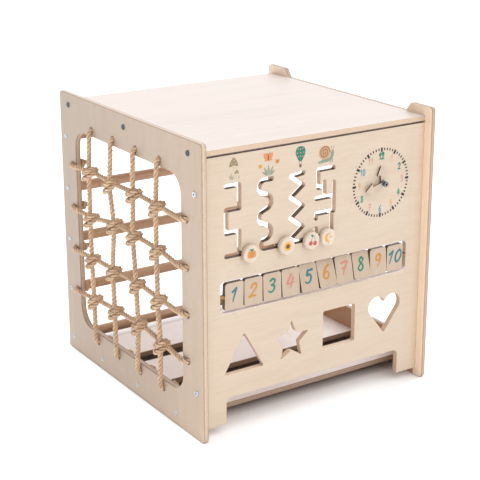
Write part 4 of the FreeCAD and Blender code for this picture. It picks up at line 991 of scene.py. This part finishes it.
def pumpkin(x, z):
    lobes = [disc(x + shift, z, 4.2, 7.2) for shift in (-5.6, 5.6)]
    middle = [disc(x, z, 5.2, 7.8)]
    ribs = (brush([(x - 3.4, z + 6), (x - 4.4, z), (x - 3.4, z - 6)], 0.6, 0)
            + brush([(x + 3.4, z + 6), (x + 4.4, z), (x + 3.4, z - 6)], 0.6, 0))
    top = ([petal(x, z + 7, 6, 3.2, -48), petal(x, z + 7, 6, 3.2, 50)]
           + brush([(x, z + 7), (x + 0.6, z + 11)], 1.4, 0.2, False))
    return ["rust", "orange", "leaf"], [("rust", lobes), ("orange", middle), ("rust", ribs), ("leaf", top)]


def sunflower(x, z):
    petals = [petal(x, z, 10.5, 4.4, 30 * step) for step in range(12)]
    seeds = [disc(x + 2.4 * math.cos(turn), z + 2.4 * math.sin(turn), 0.5)
             for turn in (math.pi * step / 3 for step in range(6))]
    return ["gold", "black", "tan"], [("gold", petals), ("black", [disc(x, z, 4.4)]),
                                      ("tan", seeds + [disc(x, z, 0.6)])]


def cherries(x, z):
    stems = (brush([(x - 4.6, z - 1), (x - 2, z + 6), (x + 2.4, z + 10.5)], 0.9, 0.1)
             + brush([(x + 5, z - 2), (x + 4.6, z + 5), (x + 2.4, z + 10.5)], 0.9, 0.1))
    return ["red", "leaf", "blush"], [("leaf", stems + [petal(x + 2.4, z + 10, 8, 4, -72)]),
                                      ("red", [disc(x - 5, z - 4, 4.6), disc(x + 5.2, z - 5, 4.6)]),
                                      ("blush", [disc(x - 6.4, z - 2.4, 1.0), disc(x + 3.8, z - 3.4, 1.0)])]


def moonAndStar(x, z):
    outer = [(x - 1 + 9 * math.cos(turn), z + 9 * math.sin(turn))
             for turn in (math.radians(52 + 256 * step / 24) for step in range(25))]
    inner = [(x + 3.2 + 7.6 * math.cos(turn), z + 7.6 * math.sin(turn))
             for turn in (math.radians(70 + 220 * step / 24) for step in range(25))]
    crescent = [[outer[step], outer[step + 1], inner[step + 1], inner[step]] for step in range(24)]
    star = [(x + 5 + reach * math.sin(turn), z + 1 + reach * math.cos(turn))
            for turn, reach in ((math.pi * step / 5, 3.4 if step % 2 == 0 else 1.5) for step in range(10))]
    return ["gold", "blush"], [("gold", crescent), ("blush", [star])]


mazePictures = {"mushroom_picture": (mushrooms, 102, 639),
                "butterfly_picture": (butterfliesAndLeaves, 201, 633),
                "balloon_picture": (balloon, 292.5, 639), "snail_picture": (snail, 369, 640)}
knobPictures = {"pumpkin_picture": pumpkin, "sunflower_picture": sunflower, "cherry_picture": cherries,
                "moon_picture": moonAndStar}
knobPrint = 1.25  # the knobs' pictures are drawn smaller than they are printed
for name, (picture, x, z) in mazePictures.items():
    colours, layers = picture(x, z)
    printOn(name, colours, layers, "cube")
for index, (name, picture) in enumerate(knobPictures.items()):
    node = "maze_knob_%d" % (index + 1)
    low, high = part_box(node)
    x, z = ((low.x + high.x) / 2 - cubeCorner.x) * 1000, (low.z + high.z) * 500
    colours, layers = picture(x, z)
    larger = [(ink, [[(x + (a - x) * knobPrint, z + (b - z) * knobPrint) for a, b in shape]
                     for shape in shapes])
              for ink, shapes in layers]
    printOn(name, colours, larger, node, (low.y - cubeCorner.y) * 1000)
print("pictures printed")

floor = {"size": 40, "colour": (0.93, 0.925, 0.935), "glow": 0.42, "glowFrom": 0.0, "glowFull": 0.08,
         "centre": (0.0104, 0.0), "half": (0.348, 0.358), "leftPull": 30, "leftGlow": 1.7, "leftFull": 0.012,
         "shadeCentre": (0.0, 0.045), "shadeHalf": (0.31, 0.27), "shadeFade": 0.05,
         "shade": (0.40, 0.31, 0.255)}

floorMaterial, nodes, links, shader = newMaterial("studio_floor", 0.6)
floorPlace = nodes.new("ShaderNodeTexCoord").outputs["Object"]
veil = stretched(nodes, links, floorPlace, (3, 3, 3), (0, 0, 0), 2, 0.5)
dimmer = tuple(channel * 0.99 for channel in floor["colour"])
paint = ramp(nodes, links, veil, [(0.2, dimmer), (0.8, floor["colour"])])


def beyond(centre, half, pull):
    # how far a point of the floor lies outside a rectangle
    steps = floorPlace
    for kind, value in (("SUBTRACT", (*centre, 0)), ("ABSOLUTE", None), ("SUBTRACT", (*half, 0)),
                        ("MAXIMUM", (0, 0, 0)), ("MULTIPLY", (pull, 1, 0))):
        step = nodes.new("ShaderNodeVectorMath")
        step.operation = kind
        links.new(steps, step.inputs[0])
        if value:
            step.inputs[1].default_value = value
        steps = step.outputs[0]
    length = nodes.new("ShaderNodeVectorMath")
    length.operation = "LENGTH"
    links.new(steps, length.inputs[0])
    return length.outputs["Value"]


def spreadTo(source, start, finish, low, high):
    node = nodes.new("ShaderNodeMapRange")
    for name, value in (("From Min", start), ("From Max", finish), ("To Min", low), ("To Max", high)):
        node.inputs[name].default_value = value
    links.new(source, node.inputs["Value"])
    return node.outputs["Result"]


# painted shadow below the cube; painted light as a glow, growing with the distance from it, most of all to
# its left
inShade = mathNode(nodes, links, "DIVIDE", beyond(floor["shadeCentre"], floor["shadeHalf"], 1),
                   floor["shadeFade"])
paintedFloorShadow = ramp(nodes, links, inShade, [(0.0, floor["shade"]), (1.0, (1, 1, 1))])
links.new(mix(nodes, links, 1.0, paint, paintedFloorShadow, "MULTIPLY"), shader.inputs["Base Color"])
away = spreadTo(beyond(floor["centre"], floor["half"], floor["leftPull"]),
                floor["glowFrom"], floor["glowFull"], 0, floor["glow"])
leftEdge = floor["centre"][0] - floor["half"][0]
leftward = spreadTo(axesOf(nodes, links, floorPlace)[0],
                    leftEdge, leftEdge - floor["leftFull"], 1, floor["leftGlow"])
links.new(mathNode(nodes, links, "MULTIPLY", away, leftward), shader.inputs["Emission Strength"])
shader.inputs["Emission Color"].default_value = (1, 1, 1, 1)
half = floor["size"] / 2
ground = makeMesh("studio_floor", [(-half, -half, 0), (half, -half, 0), (half, half, 0), (-half, half, 0)],
                  [(0, 1, 2, 3)], [floorMaterial])
ground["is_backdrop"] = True

daylight = {"dim": (0.36, 0.365, 0.375), "bright": (1.45, 1.45, 1.47), "towards": (0.75, 0.66, 0.1)}
softSun = {"from": (0.14, -0.37, 0.60), "at": (900, -1600, 2600), "strength": 2.05, "spread": 80,
           "colour": (1, 0.99, 0.97)}

world = bpy.data.worlds.new("daylight")
bpy.context.scene.world = world
world.use_nodes = True
skyNodes, skyLinks = world.node_tree.nodes, world.node_tree.links
turned = skyNodes.new("ShaderNodeVectorMath")
turned.operation = "DOT_PRODUCT"
turned.inputs[1].default_value = Vector(daylight["towards"]).normalized()
skyLinks.new(skyNodes.new("ShaderNodeTexCoord").outputs["Generated"], turned.inputs[0])
spread = mathNode(skyNodes, skyLinks, "MULTIPLY_ADD", turned.outputs["Value"], 0.5, 0.5)
sky = ramp(skyNodes, skyLinks, spread, [(0.35, daylight["dim"]), (0.85, daylight["bright"])])
skyLinks.new(sky, skyNodes["Background"].inputs["Color"])
sunData = bpy.data.lights.new("soft_sun", "SUN")
sunData.energy = softSun["strength"]
sunData.angle = math.radians(softSun["spread"])
sunData.color = softSun["colour"]
sun = bpy.data.objects.new("soft_sun", sunData)
bpy.context.scene.collection.objects.link(sun)
sun.location = spot(*softSun["at"])
sun.rotation_mode = "QUATERNION"
sun.rotation_quaternion = Vector(softSun["from"]).to_track_quat("Z", "Y")

camera = {"eye": (-1426.1, -2316.5, 1430.1), "azimuth": 33.671, "elevation": 16.384,
          "lens": 94.337, "sensor": 36, "shiftX": -0.0099, "shiftY": -0.1, "near": 0.05, "far": 60}

lens = bpy.data.cameras.new("photo_camera")
lens.lens = camera["lens"]
lens.sensor_width = camera["sensor"]
lens.shift_x = camera["shiftX"]
lens.shift_y = camera["shiftY"]
lens.clip_start = camera["near"]
lens.clip_end = camera["far"]
viewer = bpy.data.objects.new("photo_camera", lens)
bpy.context.scene.collection.objects.link(viewer)
viewer.location = spot(*camera["eye"])
azimuth, elevation = math.radians(camera["azimuth"]), math.radians(camera["elevation"])
sight = Vector((math.sin(azimuth) * math.cos(elevation), math.cos(azimuth) * math.cos(elevation),
                -math.sin(elevation)))
viewer.rotation_mode = "QUATERNION"
viewer.rotation_quaternion = sight.to_track_quat("-Z", "Y")
bpy.context.scene.camera = viewer
bpy.context.scene.view_settings.view_transform = "Standard"
bpy.context.scene.view_settings.look = "None"
print("floor, light and camera set")

low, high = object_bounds()
